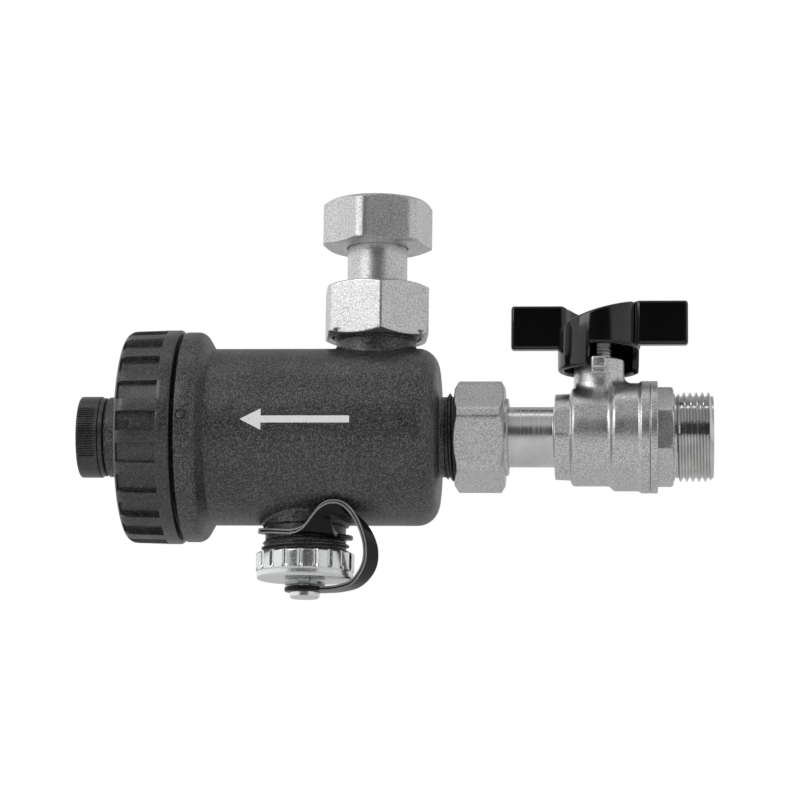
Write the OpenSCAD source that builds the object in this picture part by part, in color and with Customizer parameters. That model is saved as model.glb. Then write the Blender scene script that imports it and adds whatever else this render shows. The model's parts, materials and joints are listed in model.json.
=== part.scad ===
// Under-boiler magnetic system filter with a ball valve, two union nuts and a capped drain.
// The outlet thread's axis is +X, the boiler port points up along +Z and the flushing handle's
// stop post faces -Y. The origin is on the last full crest of the outlet thread.
// A station is the distance from the outlet end face, measured towards the screw-on closure.

/* [Threads] */
// Crest radius of the parallel three-quarter inch pipe thread
pipe_crest_r = 13.22; // [13.15:0.01:13.25]
// Root radius of the same thread
pipe_root_r = 12.06; // [12.0:0.01:12.1]
// Pitch of the same thread
pipe_pitch = 1.814; // [1.80:0.001:1.82]
// Full crests on the outlet thread
outlet_crests = 6; // [4:1:6]

/* [Filter body] */
// Outer radius of the casing beside the ports
casing_r = 26.2; // [25.5:0.1:26.5]
// Outer radius of the casing beside the flange
casing_flange_end_r = 26.6; // [26.2:0.1:27.0]
// Wall thickness of the casing
casing_wall = 3.1; // [2.8:0.1:3.4]
// Radius of the flange that the lock ring closes on
flange_r = 31.5; // [31.0:0.1:31.8]
// Rounding of the casing's valve-side edge
casing_round = 6.4; // [4.0:0.2:7.0]
// Station of the boiler port's axis
boiler_port_at = 100.6; // [99:0.2:102]
// Station of the drain port's axis
drain_port_at = 121; // [120:0.2:122]

/* [Lock ring] */
// Outer radius of the lock ring
lock_r = 32.1; // [31.8:0.1:33.0]
// Number of grip recesses round the lock ring
grip_count = 21; // [18:1:24]
// Angle that one grip recess covers
grip_angle = 10; // [8:0.5:11]
// Depth of a grip recess
grip_depth = 1.3; // [0.8:0.1:1.5]
// Pitch of the lock ring's coarse thread
lock_pitch = 4; // [3.5:0.5:4]

/* [Magnet] */
// Radius of the ridged knob
knob_r = 12.2; // [12.0:0.1:12.6]
// Number of magnets in the stack
magnet_count = 6; // [4:1:6]
// Length of one magnet
magnet_len = 11; // [10:0.5:11]
// Radius of the magnets
magnet_r = 6.6; // [6.0:0.1:6.7]

/* [Unions] */
// Width of the union nuts across their flats
nut_flats = 30; // [29.6:0.1:30.4]
// Outer radius of the tail pipes
tail_r = 9; // [8.8:0.1:9.1]
// Inner radius of the tail pipes
tail_bore_r = 7; // [6.5:0.1:7.2]

/* [Ball valve] */
// Station of the stem's axis
stem_at = 33.8; // [33.4:0.1:34.2]
// Radius of the ball
ball_r = 9.6; // [9.4:0.1:9.7]
// Outer radius of the valve's inlet barrel
barrel_r = 14.65; // [14.4:0.05:15.0]
// Outer radius of the valve's outlet barrel
big_barrel_r = 16.1; // [15.9:0.1:16.3]
// Length of one handle wing from the stem's axis
wing_reach = 26.5; // [24:0.5:28]
// Thickness of a handle wing
wing_thick = 3.5; // [3.0:0.1:4.0]
// Height of the top of the handle above the outlet axis
handle_top = 40.4; // [39:0.1:42]

/* [Drain cap] */
// Outer radius of the drain cap
cap_r = 14.65; // [14.5:0.05:15.0]
// Number of flutes round the drain cap
flute_count = 20; // [16:2:24]
// Thickness of the cap's retaining strap
strap_thick = 1.5; // [1.2:0.1:1.8]

/* [Hidden] */
$fn = 96;

// Lead-in chamfer between the last full crest and the outlet end face
thread_nose = 1;
// Space kept between faces that slide or turn past each other
slip = 0.3;
// Small overlap that joins two shapes of one solid
weld = 0.4;
// Radius that clears a pipe thread's crests
thread_clear_r = pipe_crest_r + slip;
// Crest radius of the casing's own moulded threads
moulded_crest_r = pipe_crest_r - 0.35;

// Casing stations
casing_start = 81.2;
chamber_start = 84.8;
shoulder_start = 148.7;
flange_start = 152.4;
flange_end = 157;
mouth_at = 169;
mouth_bore_r = 24;
lock_crest_r = 28.6;
lock_root_r = 27.4;
neck_r = 12;
neck_bore_r = 8.2;
neck_end = 69.4;
spout_end = -39.8;
port_top = 38.6;

// Lock ring and closure stations
ring_start = 158.2;
ring_end = 174.8;
ring_wall_at = 171.8;
ring_bore_r = lock_crest_r + 0.4;
closure_neck_end = 180.9;
knob_end = 189.2;
pocket_r = 8;
pocket_bore_r = 7.2;
pocket_tip = 93.2;
knob_bore_r = 9;

// Magnet stack: a disc at each end and between the magnets
disc_len = 1;
stack_gap = 0.05;
stack_start = 99.1;
stack_step = magnet_len + disc_len + 2 * stack_gap;

// Valve stations
pipe_start = 46.8;
collar_r = 11.9;
seat_face = 5.5;
seat_depth = 3.7;
cavity_r = 11;
end_socket_r = 13;
tower_r = 7.5;
tower_top = 23;
stem_r = 4;
skirt_r = 12.3;
skirt_bore_r = 10.3;
skirt_bottom = 19.6;
notch_top = 26.4;
web_top = 29.6;
wing_bottom = 27.1;
wing_offset = 4.0;

// Union nut heights
port_nut_low = 29.3;
port_nut_top = 45.5;
tail_low = 40.6;
boiler_nut_low = 57.6;
boiler_nut_top = 71.4;
tail_top = 63.3;

// Drain cap heights
cap_top = -35.1;
cap_low = -43;
pin_r = 2.2;
eye_top = -45;
eye_low = -46.6;

// Tilt of the strap's ring on the spout: down towards the front, and down towards the right
strap_tilt = [4.5, 4, 0];
strap_ring_z = -29.4;
// Chosen routes of the retaining strap's near and far edges, from its ring on the spout to the pin's
// eye: right of the drain port's axis, in front of it (towards -Y), and height
strap_near = [
    [-3.2, 13.7, -30.1], [-1.2, 15, -29.9], [0.9, 16, -28.9], [2.5, 16.6, -27.2], [4, 17, -25.2],
    [5.6, 17.4, -23.4], [7.6, 17.8, -22.1], [9.8, 18, -21.7], [12.1, 17.7, -22.1],
    [14.3, 16.8, -23.7], [16.2, 15.4, -26.4], [17.7, 13.4, -29.8], [18.6, 11, -33.9],
    [18.3, 8.5, -37.9], [16.8, 6.5, -41.2], [14.2, 5, -44.1], [10.2, 4, -45.4], [6.4, 3.6, -45.8],
    [3.2, 3.7, -45.8]
];
strap_far = [
    [10.4, 9.9, -30.7], [9.8, 12.8, -30.2], [9.4, 14.6, -28.8], [9, 15.2, -27], [9.2, 15, -25.6],
    [10, 14.2, -24.9], [11.4, 13, -24.9], [13, 12.4, -25.1], [15.2, 11.9, -25.4],
    [17.4, 11, -26.6], [19.3, 9.6, -28.5], [21, 7.6, -31.3], [21.9, 5.2, -34.8],
    [21.4, 2.5, -38.6], [19.4, 0.2, -41.8], [15.9, -1.8, -44.4], [11.2, -3, -45.5],
    [6.6, -3.5, -45.8], [3.2, -3.7, -45.8]
];

// Position of a station on the row's X axis
function x_of(station) = thread_nose - station;

// Points of an arc about a centre, from one angle to another
function arc(centre, r, from, to, steps = 8) = [
    for (i = [0:steps])
        let (a = from + (to - from) * i / steps)
        [centre[0] + r * cos(a), centre[1] + r * sin(a)]
];

// Outline of a run of thread crests, going along the axis from the first crest
function crests(first, count, crest, root, pitch) = [
    for (i = [0:count - 1])
        each [
            [root, first + pitch * (i - 1 / 3)],
            [crest, first + pitch * i],
            [crest, first + pitch * (i + 1 / 6)],
            [root, first + pitch * (i + 1 / 2)]
        ]
];

function unit(v) = v / norm(v);

// Turned shape about Z from half outline points [radius, height]
module turned(points) rotate_extrude() polygon(points);

// Turned shape about the outlet axis from half outline points [radius, station]
module along(points) lay_down() turned(points);

// Lays Z down onto the outlet axis so that height becomes station
module lay_down() translate([x_of(0), 0, 0]) rotate([0, -90, 0]) children();

// Plain ring between two heights
module ring(outer, inner, low, high) {
    difference() {
        translate([0, 0, low]) cylinder(r = outer, h = high - low);
        translate([0, 0, low - 1]) cylinder(r = inner, h = high - low + 2);
    }
}

// Ring of round section
module round_ring(centre_r, section_r, height) {
    translate([0, 0, height])
        rotate_extrude()
            translate([centre_r, 0]) circle(r = section_r, $fn = 32);
}

// Hexagonal bar with both ends chamfered and its corners turned to tip_r
module hex_bar(low, high, tip_r, low_drop, high_drop, turn) {
    flat_r = nut_flats / 2;
    intersection() {
        rotate([0, 0, turn])
            translate([0, 0, low]) cylinder(d = nut_flats / cos(30), h = high - low, $fn = 6);
        turned([
            [0, low], [flat_r - 0.2, low], [tip_r, low + low_drop],
            [tip_r, high - high_drop], [flat_r - 0.2, high], [0, high]
        ]);
    }
}

// Union nut: the tail passes through its shoulder and the mouth clears the thread
module union_nut(low, high, tip_r, shoulder, turn, low_drop = 1.1, high_drop = 1.1) {
    difference() {
        hex_bar(low, high, tip_r, low_drop, high_drop, turn);
        translate([0, 0, low - 1]) cylinder(r = tail_r + slip, h = high - low + 2);
        translate([0, 0, low + shoulder]) cylinder(r = thread_clear_r, h = high - low);
        translate([0, 0, high - 0.7])
            cylinder(r1 = thread_clear_r, r2 = thread_clear_r + 0.8, h = 0.8);
    }
}

module filter_body() {
    inner_r = casing_r - casing_wall;
    color("#26272a")
    difference() {
        union() {
            along(concat(
                [[0, neck_end], [pipe_root_r - 0.6, neck_end], [pipe_root_r, neck_end + 0.6]],
                crests(neck_end + 1.2, 5, moulded_crest_r, pipe_root_r, pipe_pitch),
                [[pipe_root_r, casing_start - 0.8], [pipe_root_r + 0.8, casing_start]],
                [[casing_r - casing_round - 0.6, casing_start + 0.5]],
                arc([casing_r - casing_round, casing_start + 0.6 + casing_round],
                    casing_round, -84, 0, 10),
                [[casing_flange_end_r, shoulder_start]],
                arc([casing_flange_end_r + 2.2, shoulder_start + 0.4], 2.2, 180, 98, 5),
                [[flange_r - 0.8, flange_start - 0.3], [flange_r, flange_start + 0.5],
                 [flange_r, flange_end - 0.5], [flange_r - 0.5, flange_end],
                 [lock_root_r, flange_end]],
                crests(flange_end + 1.4, 3, lock_crest_r, lock_root_r, lock_pitch),
                [[lock_root_r, mouth_at - 0.5], [lock_root_r - 0.5, mouth_at], [0, mouth_at]]
            ));
            translate([x_of(boiler_port_at), 0, 0])
                turned(concat(
                    [[0, 0], [neck_r, 0], [neck_r, port_nut_low - 0.5],
                     [pipe_root_r, port_nut_low - 0.5]],
                    crests(port_nut_low + 0.5, 4, moulded_crest_r, pipe_root_r, pipe_pitch),
                    [[pipe_root_r, port_top - 0.6], [pipe_root_r - 0.6, port_top], [0, port_top]]
                ));
            translate([x_of(drain_port_at), 0, 0])
                mirror([0, 0, 1])
                    turned(concat(
                        [[0, 0], [13, 0], [13, 26.9], [neck_r, 27.4]],
                        crests(32.0, 4, moulded_crest_r, pipe_root_r, pipe_pitch),
                        [[pipe_root_r, -spout_end - 0.6], [pipe_root_r - 0.6, -spout_end],
                         [0, -spout_end]]
                    ));
            body_marks();
        }
        along([
            [0, neck_end - 1], [neck_bore_r, neck_end - 1], [neck_bore_r, chamber_start],
            [inner_r - 3, chamber_start], [inner_r, chamber_start + 3],
            [inner_r, mouth_at - 10], [mouth_bore_r, mouth_at - 9], [mouth_bore_r, mouth_at - 0.8],
            [mouth_bore_r + 0.8, mouth_at], [mouth_bore_r + 0.8, mouth_at + 1], [0, mouth_at + 1]
        ]);
        translate([x_of(boiler_port_at), 0, 0])
            cylinder(r = neck_bore_r, h = port_top + 1);
        translate([x_of(drain_port_at), 0, spout_end - 1])
            cylinder(r = neck_bore_r, h = -spout_end + 1);
    }
}

// Small moulded marks: one on the flange and one on each port's boss
module body_marks() {
    rotate([-3.3, 0, 0])
        translate([x_of(154.7), -flange_r + 0.6, 0])
            rotate([90, 0, 0]) cylinder(r = 1.5, h = 1.0);
    translate([x_of(boiler_port_at), -neck_r + 0.6, 27.2])
        rotate([90, 0, 0]) cylinder(r = 1.5, h = 1.0);
}

module strainer_mesh() {
    color("#9a9da0")
    difference() {
        lay_down() ring(17.6, 17.2, chamber_start + 3.4, flange_end);
        translate([x_of(drain_port_at), 0, -22]) cylinder(r = neck_bore_r, h = 12);
    }
}

module strainer_rings() {
    color("#3b3d40")
    lay_down() {
        ring(18.6, 16.4, chamber_start + 0.1, chamber_start + 3.4);
        ring(18.6, 16.4, flange_end, flange_end + 3.2);
    }
}

module outlet_gasket() {
    color("#2f5d46")
    lay_down() ring(collar_r - 0.2, 8.4, neck_end - 2.1, neck_end);
}

module outlet_union_nut() {
    color("#c3c5c4")
    lay_down()
        difference() {
            union() {
                union_nut(61.7, 76.5, 16.65, 2.5, -12.7);
                ring(11.5, tail_r + slip, 60.6, 61.7 + weld);
            }
            translate([0, 0, 60]) cylinder(r = tail_r + slip, h = 3);
        }
}

// Flange of the tail, then its pipe, then the valve's two barrels and the stem tower
module valve_body() {
    collar_at = neck_end - 2.1;
    color("#bfc1c0")
    difference() {
        union() {
            along([
                [0, 18.7], [16.5, 18.7], [16.7, 18.9], [16.7, 21.0], [big_barrel_r, 21.9],
                [big_barrel_r, 28.9], [big_barrel_r - 0.4, 29.5], [barrel_r, 30.6], [barrel_r, 40.6],
                [barrel_r - 0.5, 41.4], [12.9, 42.3], [12.7, 42.6], [12.7, pipe_start - 0.4],
                [12.3, pipe_start], [tail_r, pipe_start], [tail_r, collar_at - 3],
                [collar_r, collar_at - 3], [collar_r, collar_at], [0, collar_at]
            ]);
            translate([x_of(stem_at), 0, 0])
                turned([
                    [0, 0], [10.5, 0], [10.5, 13.2], [8.6, 16.2], [tower_r, 18.2],
                    [tower_r, tower_top - 0.7], [tower_r - 0.7, tower_top], [0, tower_top]
                ]);
            stop_post();
        }
        along([
            [0, 17], [end_socket_r, 17], [end_socket_r, stem_at - seat_face - seat_depth],
            [cavity_r, stem_at - seat_face - seat_depth],
            [cavity_r, stem_at + seat_face + seat_depth],
            [tail_bore_r, stem_at + seat_face + seat_depth],
            [tail_bore_r, collar_at + 1], [0, collar_at + 1]
        ]);
        translate([x_of(stem_at), 0, 0]) cylinder(r = 5.6, h = 13);
        translate([x_of(stem_at), 0, 0]) cylinder(r = stem_r + 0.08, h = tower_top + 1);
    }
}

// Post that the handle's notch turns against
module stop_post() {
    translate([x_of(stem_at), -6, 20.5])
        rotate([90, 0, 0])
            intersection() {
                cylinder(r = 2.2, h = 6.8);
                translate([-3, -1.8, 0]) cube([6, 3.6, 7]);
            }
    translate([x_of(stem_at) - 2.2, -11.4, 17.2]) cube([4.4, 5.4, 2.4]);
}

module valve_end() {
    color("#c4c6c5")
    difference() {
        union() {
            lay_down()
                turned(concat(
                    [[0, 0], [pipe_root_r + 0.1, 0]],
                    [for (p = crests(thread_nose, outlet_crests, pipe_crest_r, pipe_root_r,
                                     pipe_pitch)) if (p[1] > 0.5) p],
                    [[pipe_root_r, 12], [0, 12]]
                ));
            lay_down()
                translate([0, 0, 11.7])
                    rotate([0, 0, 22.5])
                        cylinder(d = 28.3 / cos(22.5), h = 4.9, $fn = 8);
            along([
                [0, 16.4], [16.4, 16.4], [16.7, 16.7], [16.7, 18.6], [end_socket_r - 0.05, 18.6],
                [end_socket_r - 0.05, stem_at - seat_face - seat_depth - 0.05],
                [0, stem_at - seat_face - seat_depth - 0.05]
            ]);
        }
        lay_down() translate([0, 0, -1]) cylinder(r = 7.6, h = 30);
    }
}

// Seat ring whose mouth is hollowed to the ball
module ball_seat(from) {
    difference() {
        lay_down() ring(cavity_r - 0.05, tail_bore_r, from, from + seat_depth - 0.05);
        translate([x_of(stem_at), 0, 0]) sphere(r = ball_r + 0.12);
    }
}

module ball_seat_inlet() {
    color("#eceae4") ball_seat(stem_at + seat_face);
}

module ball_seat_outlet() {
    color("#eceae4") ball_seat(stem_at - seat_face - seat_depth + 0.05);
}

module stem_washer() {
    color("#eceae4")
    translate([x_of(stem_at), 0, 0]) ring(5.5, stem_r + 0.1, 12.1, 12.95);
}

module valve_ball() {
    color("#d4d6d8")
    translate([x_of(stem_at), 0, 0])
        difference() {
            sphere(r = ball_r);
            rotate([0, 90, 0]) translate([0, 0, -15]) cylinder(r = tail_bore_r, h = 30);
            translate([-6, -2, 7.6]) cube([12, 4, 4]);
        }
}

module valve_stem() {
    color("#b9a069")
    translate([x_of(stem_at), 0, 0]) {
        difference() {
            turned(concat(
                [[0, 10], [5.3, 10], [5.3, 12], [stem_r, 12], [stem_r, 15.4], [3.2, 15.4], [3.2, 17.4],
                 [stem_r, 17.4], [stem_r, tower_top + 0.2]],
                crests(tower_top + 1, 12, stem_r, stem_r - 0.5, 0.95),
                [[stem_r - 0.5, 35.2], [stem_r - 1, 35.6], [0, 35.6]]
            ));
            for (side = [0, 180])
                rotate([0, 0, side]) translate([3.1, -5, notch_top]) cube([3, 10, 12]);
        }
        intersection() {
            cylinder(r = 5, h = 10.2);
            translate([-5, -1.9, 7.9]) cube([10, 3.8, 2.4]);
        }
    }
}

module stem_o_ring() {
    color("#1c1c1e")
    translate([x_of(stem_at), 0, 0])
        ring(stem_r + 0.06, 3.22, 15.5, 17.3);
}

// Top edge of one half of the handle's wall, seen from the front
module wall_outline() {
    polygon(concat(
        [[-skirt_r - 1, skirt_bottom - 1], [wing_reach, skirt_bottom - 1], [wing_reach, handle_top]],
        [[9, handle_top]],
        arc([6, handle_top - 15], 15, 90, 133, 6),
        arc([-6.6, 31.6], 5.9, 150, 180, 3),
        [[-skirt_r - 1, 30]]
    ));
}

// One wall and its wing; the other is the same shape turned half round
module handle_half() {
    intersection() {
        ring(skirt_r, skirt_bore_r, skirt_bottom, handle_top);
        rotate([90, 0, 0]) linear_extrude(height = 14) wall_outline();
    }
    wing_start = sqrt(skirt_r * skirt_r - pow(wing_offset + wing_thick / 2, 2)) - 1.6;
    translate([wing_start, -wing_offset + wing_thick / 2, 0])
        rotate([90, 0, 0])
            linear_extrude(height = wing_thick)
                wing_outline(wing_reach - wing_start);
}

// Flat wing with two rounded tips
module wing_outline(length) {
    tip = 2;
    polygon(concat(
        [[0, wing_bottom]],
        arc([length - tip, wing_bottom + tip], tip, -90, 0, 6),
        arc([length - tip, handle_top - tip], tip, 0, 90, 6),
        [[0, handle_top]]
    ));
}

module valve_handle() {
    color("#0c0c0d")
    translate([x_of(stem_at), 0, 0])
        difference() {
            union() {
                handle_half();
                rotate([0, 0, 180]) handle_half();
                ring(skirt_r - 0.6, 3.2, notch_top, web_top);
            }
            rotate([0, 0, -105])
                rotate_extrude(angle = 120)
                    translate([skirt_bore_r - 1, skirt_bottom - 1])
                        square([4, notch_top - skirt_bottom + 1]);
            intersection() {
                translate([0, 0, notch_top - 1]) cylinder(r = stem_r + 0.1, h = 6);
                translate([-3.15, -6, notch_top - 1]) cube([6.3, 12, 6]);
            }
        }
}

module handle_nut() {
    color("#c9cacb")
    translate([x_of(stem_at), 0, web_top])
        difference() {
            cylinder(d = 12 / cos(30), h = 4.6, $fn = 6);
            translate([0, 0, -1]) cylinder(r = stem_r + 0.05, h = 7);
        }
}

// Plug with a spigot for the seal, a seat for the pocket and a neck for the knob
module closure_plug() {
    spigot_r = mouth_bore_r - slip;
    color("#232427")
    along([
        [pocket_r + 0.05, 166.2], [20.6, 166.2], [20.6, 160.8], [spigot_r, 160.8],
        [spigot_r, 162.9], [21.3, 162.9], [21.3, 165.9], [spigot_r, 165.9],
        [spigot_r, mouth_at + 0.2], [28.6, mouth_at + 0.2], [28.6, 171.5], [neck_r, 171.5],
        [neck_r, closure_neck_end - 0.5], [neck_r - 0.5, closure_neck_end],
        [knob_bore_r, closure_neck_end], [knob_bore_r, 170.1], [pocket_r + 0.05, 170.1]
    ]);
}

module magnet_pocket() {
    color("#a8aaac")
    along([
        [0, pocket_tip], [pocket_r - 1.5, pocket_tip], [pocket_r, pocket_tip + 1.5],
        [pocket_r, 170.15], [knob_bore_r - 0.1, 170.15], [knob_bore_r - 0.1, 171.0],
        [pocket_bore_r, 171.0],
        [pocket_bore_r, pocket_tip + 1.2], [0, pocket_tip + 1.2]
    ]);
}

module closure_o_ring() {
    color("#1b1b1c")
    lay_down() round_ring(22.65, 1.25, 164.4);
}

module lock_ring() {
    face_round = 2.7;
    color("#202124")
    difference() {
        along(concat(
            [[ring_bore_r + 0.5, ring_start], [lock_r - 0.8, ring_start], [lock_r, ring_start + 0.8],
             [lock_r - 0.1, 162.0]],
            arc([lock_r - 0.4 - face_round, ring_end - face_round], face_round, 0, 90, 8),
            [[13.5, ring_end], [13, ring_end - 0.5], [13, ring_wall_at], [ring_bore_r, ring_wall_at],
             [ring_bore_r, ring_start + 0.5]]
        ));
        for (i = [0:grip_count - 1])
            lay_down()
                rotate([0, 0, -90 - grip_angle / 2 + i * 360 / grip_count])
                    rotate_extrude(angle = grip_angle)
                        polygon([
                            [lock_r - grip_depth, 162.2], [lock_r + 1, 162.2], [lock_r + 1, 173.9],
                            [lock_r - grip_depth - 0.4, 173.9]
                        ]);
    }
}

// Rod that carries the magnets and screws into the knob
module magnet_rod() {
    color("#c2c3c4")
    along([
        [0, 96.0], [1.6, 96.0], [2, 96.4], [2, 172.9], [6.4, 172.9], [6.4, 175.8], [0, 175.8]
    ]);
}

module magnets() {
    color("#8f9296")
    lay_down()
        for (i = [0:magnet_count - 1])
            ring(magnet_r, 2.1, stack_start + disc_len + stack_gap + i * stack_step,
                 stack_start + disc_len + stack_gap + i * stack_step + magnet_len);
}

module pole_discs() {
    color("#6f7276")
    lay_down()
        for (i = [0:magnet_count])
            ring(magnet_r + 0.1, 2.1, stack_start + i * stack_step,
                 stack_start + i * stack_step + disc_len);
}

module rod_nut() {
    color("#c9cacb")
    lay_down()
        difference() {
            translate([0, 0, stack_start - 2.2]) cylinder(d = 8, h = 2.1, $fn = 6);
            translate([0, 0, stack_start - 3]) cylinder(r = 2.05, h = 4);
        }
}

// Round push-in knob: a spigot with a seal groove, a smooth collar and a ridged grip
module magnet_knob() {
    spigot_r = knob_bore_r - 0.1;
    color("#1d1e20")
    along([
        [0, 176.0], [spigot_r, 176.0], [spigot_r, 177.2], [7.4, 177.2], [7.4, 179.2],
        [spigot_r, 179.2], [spigot_r, closure_neck_end + 0.2], [neck_r - 0.6, closure_neck_end + 0.2],
        [neck_r - 0.2, closure_neck_end + 0.6], [neck_r - 0.2, 182.6], [knob_r, 183.0],
        [knob_r, knob_end - 1], [knob_r - 0.3, knob_end - 0.3], [knob_r - 1, knob_end], [0, knob_end]
    ]);
}

module knob_o_ring() {
    color("#1b1b1c")
    lay_down() round_ring(8.15, 0.72, 178.2);
}

// Tail pipe with a flange at each end for the two union nuts
module boiler_tail() {
    color("#c6c8c7")
    translate([x_of(boiler_port_at), 0, 0])
        turned([
            [tail_bore_r, tail_low], [collar_r, tail_low], [collar_r, tail_low + 2.5],
            [tail_r, tail_low + 2.6], [tail_r, tail_top - 3.1], [11.7, tail_top - 3.0],
            [11.7, tail_top], [tail_bore_r, tail_top]
        ]);
}

module port_gasket() {
    color("#2f5d46")
    translate([x_of(boiler_port_at), 0, 0]) ring(collar_r - 0.2, 8.4, port_top, tail_low);
}

module boiler_gasket() {
    color("#2f5d46")
    translate([x_of(boiler_port_at), 0, 0]) ring(11.6, 8.4, tail_top, tail_top + 1.8);
}

// Nut on the filter's boiler port, with its mouth down
module port_union_nut() {
    color("#c3c5c4")
    translate([x_of(boiler_port_at), 0, 0])
        difference() {
            translate([0, 0, port_nut_low + port_nut_top])
                mirror([0, 0, 1])
                    union_nut(port_nut_low, port_nut_top, 17.1, 2.2, 39);
            seal_wire_holes();
        }
}

// Sealing-wire holes drilled through the lower corners of the port nut
module seal_wire_holes() {
    for (corner = [-141, -21])
        rotate([0, 0, corner])
            translate([15.6, 5, port_nut_low + 2.4])
                rotate([90, 0, 0]) cylinder(r = 0.6, h = 10);
}

// Nut that screws onto the boiler's pipe, with its mouth up and a full thread in it
module boiler_union_nut() {
    thread_low = 65.3;
    chamber_r = pipe_crest_r + 0.08;
    color("#c6c8c7")
    translate([x_of(boiler_port_at), 0, 0])
        difference() {
            hex_bar(boiler_nut_low, boiler_nut_top, 16.6, 0.6, 1.1, 15.5);
            translate([0, 0, boiler_nut_low - 1]) cylinder(r = tail_r + slip, h = 6);
            turned(concat(
                [[0, boiler_nut_low + 2.6], [chamber_r, boiler_nut_low + 2.6],
                 [chamber_r, thread_low - pipe_pitch / 3]],
                [for (i = [0:3])
                    each [
                        [pipe_root_r, thread_low + pipe_pitch * i],
                        [pipe_root_r, thread_low + pipe_pitch * (i + 1 / 6)],
                        [pipe_crest_r + 0.05, thread_low + pipe_pitch * (i + 1 / 2)],
                        [pipe_crest_r + 0.05, thread_low + pipe_pitch * (i + 2 / 3)]
                    ]],
                [[pipe_crest_r + 0.05, boiler_nut_top + 1.5], [0, boiler_nut_top + 1.5]]
            ));
        }
}

module drain_cap() {
    color("#d5d7d8")
    translate([x_of(drain_port_at), 0, 0])
        difference() {
            turned([
                [0, cap_low], [cap_r - 1.1, cap_low], [cap_r - 0.5, cap_low + 0.5],
                [cap_r - 0.3, cap_low + 1.9], [cap_r, cap_low + 2.2], [cap_r, cap_top - 0.7],
                [cap_r - 0.4, cap_top], [0, cap_top]
            ]);
            translate([0, 0, cap_low + 1.4]) cylinder(r = thread_clear_r, h = 10);
            translate([0, 0, cap_low - 1]) cylinder(r = pin_r + 0.08, h = 4);
            for (i = [0:flute_count - 1])
                rotate([0, 0, i * 360 / flute_count])
                    translate([cap_r + 0.9, 0, cap_low + 2.4]) cylinder(r = 1.5, h = 10, $fn = 32);
        }
}

module cap_pin() {
    color("#cfd1d2")
    translate([x_of(drain_port_at), 0, 0])
        turned([
            [0, -48.5], [3.9, -48.5], [4.5, -47.9], [4.5, eye_low - 0.15], [pin_r, eye_low - 0.15],
            [pin_r, cap_low + 1.5], [4, cap_low + 1.5], [4, cap_low + 2.3], [0, cap_low + 2.3]
        ]);
}

module pin_washer() {
    color("#cfd1d2")
    translate([x_of(drain_port_at), 0, 0]) ring(6, pin_r + 0.05, -44.5, -43.7);
}

module drain_gasket() {
    color("#1b1b1c")
    translate([x_of(drain_port_at), 0, 0])
        ring(thread_clear_r - 0.2, 8.4, cap_low + 1.5, -40.0);
}

// Place of a route point, counted from the drain port's axis
function strap_point(p) = [x_of(drain_port_at) + p[0], -p[1], p[2]];

// Middle of the strap at one point of its route
function strap_middle(i) = (strap_point(strap_near[i]) + strap_point(strap_far[i])) / 2;

// Four corners of the strap's section at one point of its route
function strap_section(i) =
    let (
        near = strap_point(strap_near[i]),
        far = strap_point(strap_far[i]),
        along_dir = strap_middle(min(i + 1, len(strap_near) - 1)) - strap_middle(max(i - 1, 0)),
        outward = unit(cross(along_dir, far - near)) * strap_thick / 2
    )
    [near - outward, far - outward, far + outward, near + outward];

// Moulded strap: a ring round the spout, a free loop and an eye round the cap's pin
module cap_strap() {
    count = len(strap_near);
    color("#1a1b1d") {
        polyhedron(
            points = [for (i = [0:count - 1]) each strap_section(i)],
            faces = concat(
                [[0, 1, 2], [0, 2, 3]],
                [for (i = [0:count - 2], k = [0:3])
                    let (a = 4 * i + k, b = 4 * i + (k + 1) % 4)
                    each [[a, a + 4, b + 4], [a, b + 4, b]]],
                [for (last = [4 * count - 4])
                    each [[last, last + 2, last + 1], [last, last + 3, last + 2]]]
            )
        );
        translate([x_of(drain_port_at), 0, strap_ring_z])
            rotate(strap_tilt) ring(14.2, neck_r + 0.4, -strap_thick / 2, strap_thick / 2);
        translate([x_of(drain_port_at), 0, 0]) ring(6.2, pin_r + 0.3, eye_low, eye_top);
    }
}

filter_body();
strainer_mesh();
strainer_rings();
outlet_gasket();
outlet_union_nut();
valve_body();
valve_end();
ball_seat_inlet();
ball_seat_outlet();
stem_washer();
cap_strap();
valve_ball();
valve_stem();
stem_o_ring();
valve_handle();
handle_nut();
closure_plug();
magnet_pocket();
closure_o_ring();
lock_ring();
magnet_rod();
magnets();
pole_discs();
rod_nut();
magnet_knob();
knob_o_ring();
boiler_tail();
port_gasket();
boiler_gasket();
port_union_nut();
boiler_union_nut();
cap_pin();
pin_washer();
drain_gasket();
drain_cap();
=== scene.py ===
import json
import math

import bmesh
import bpy
import numpy as np
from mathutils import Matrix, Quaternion, Vector

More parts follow.
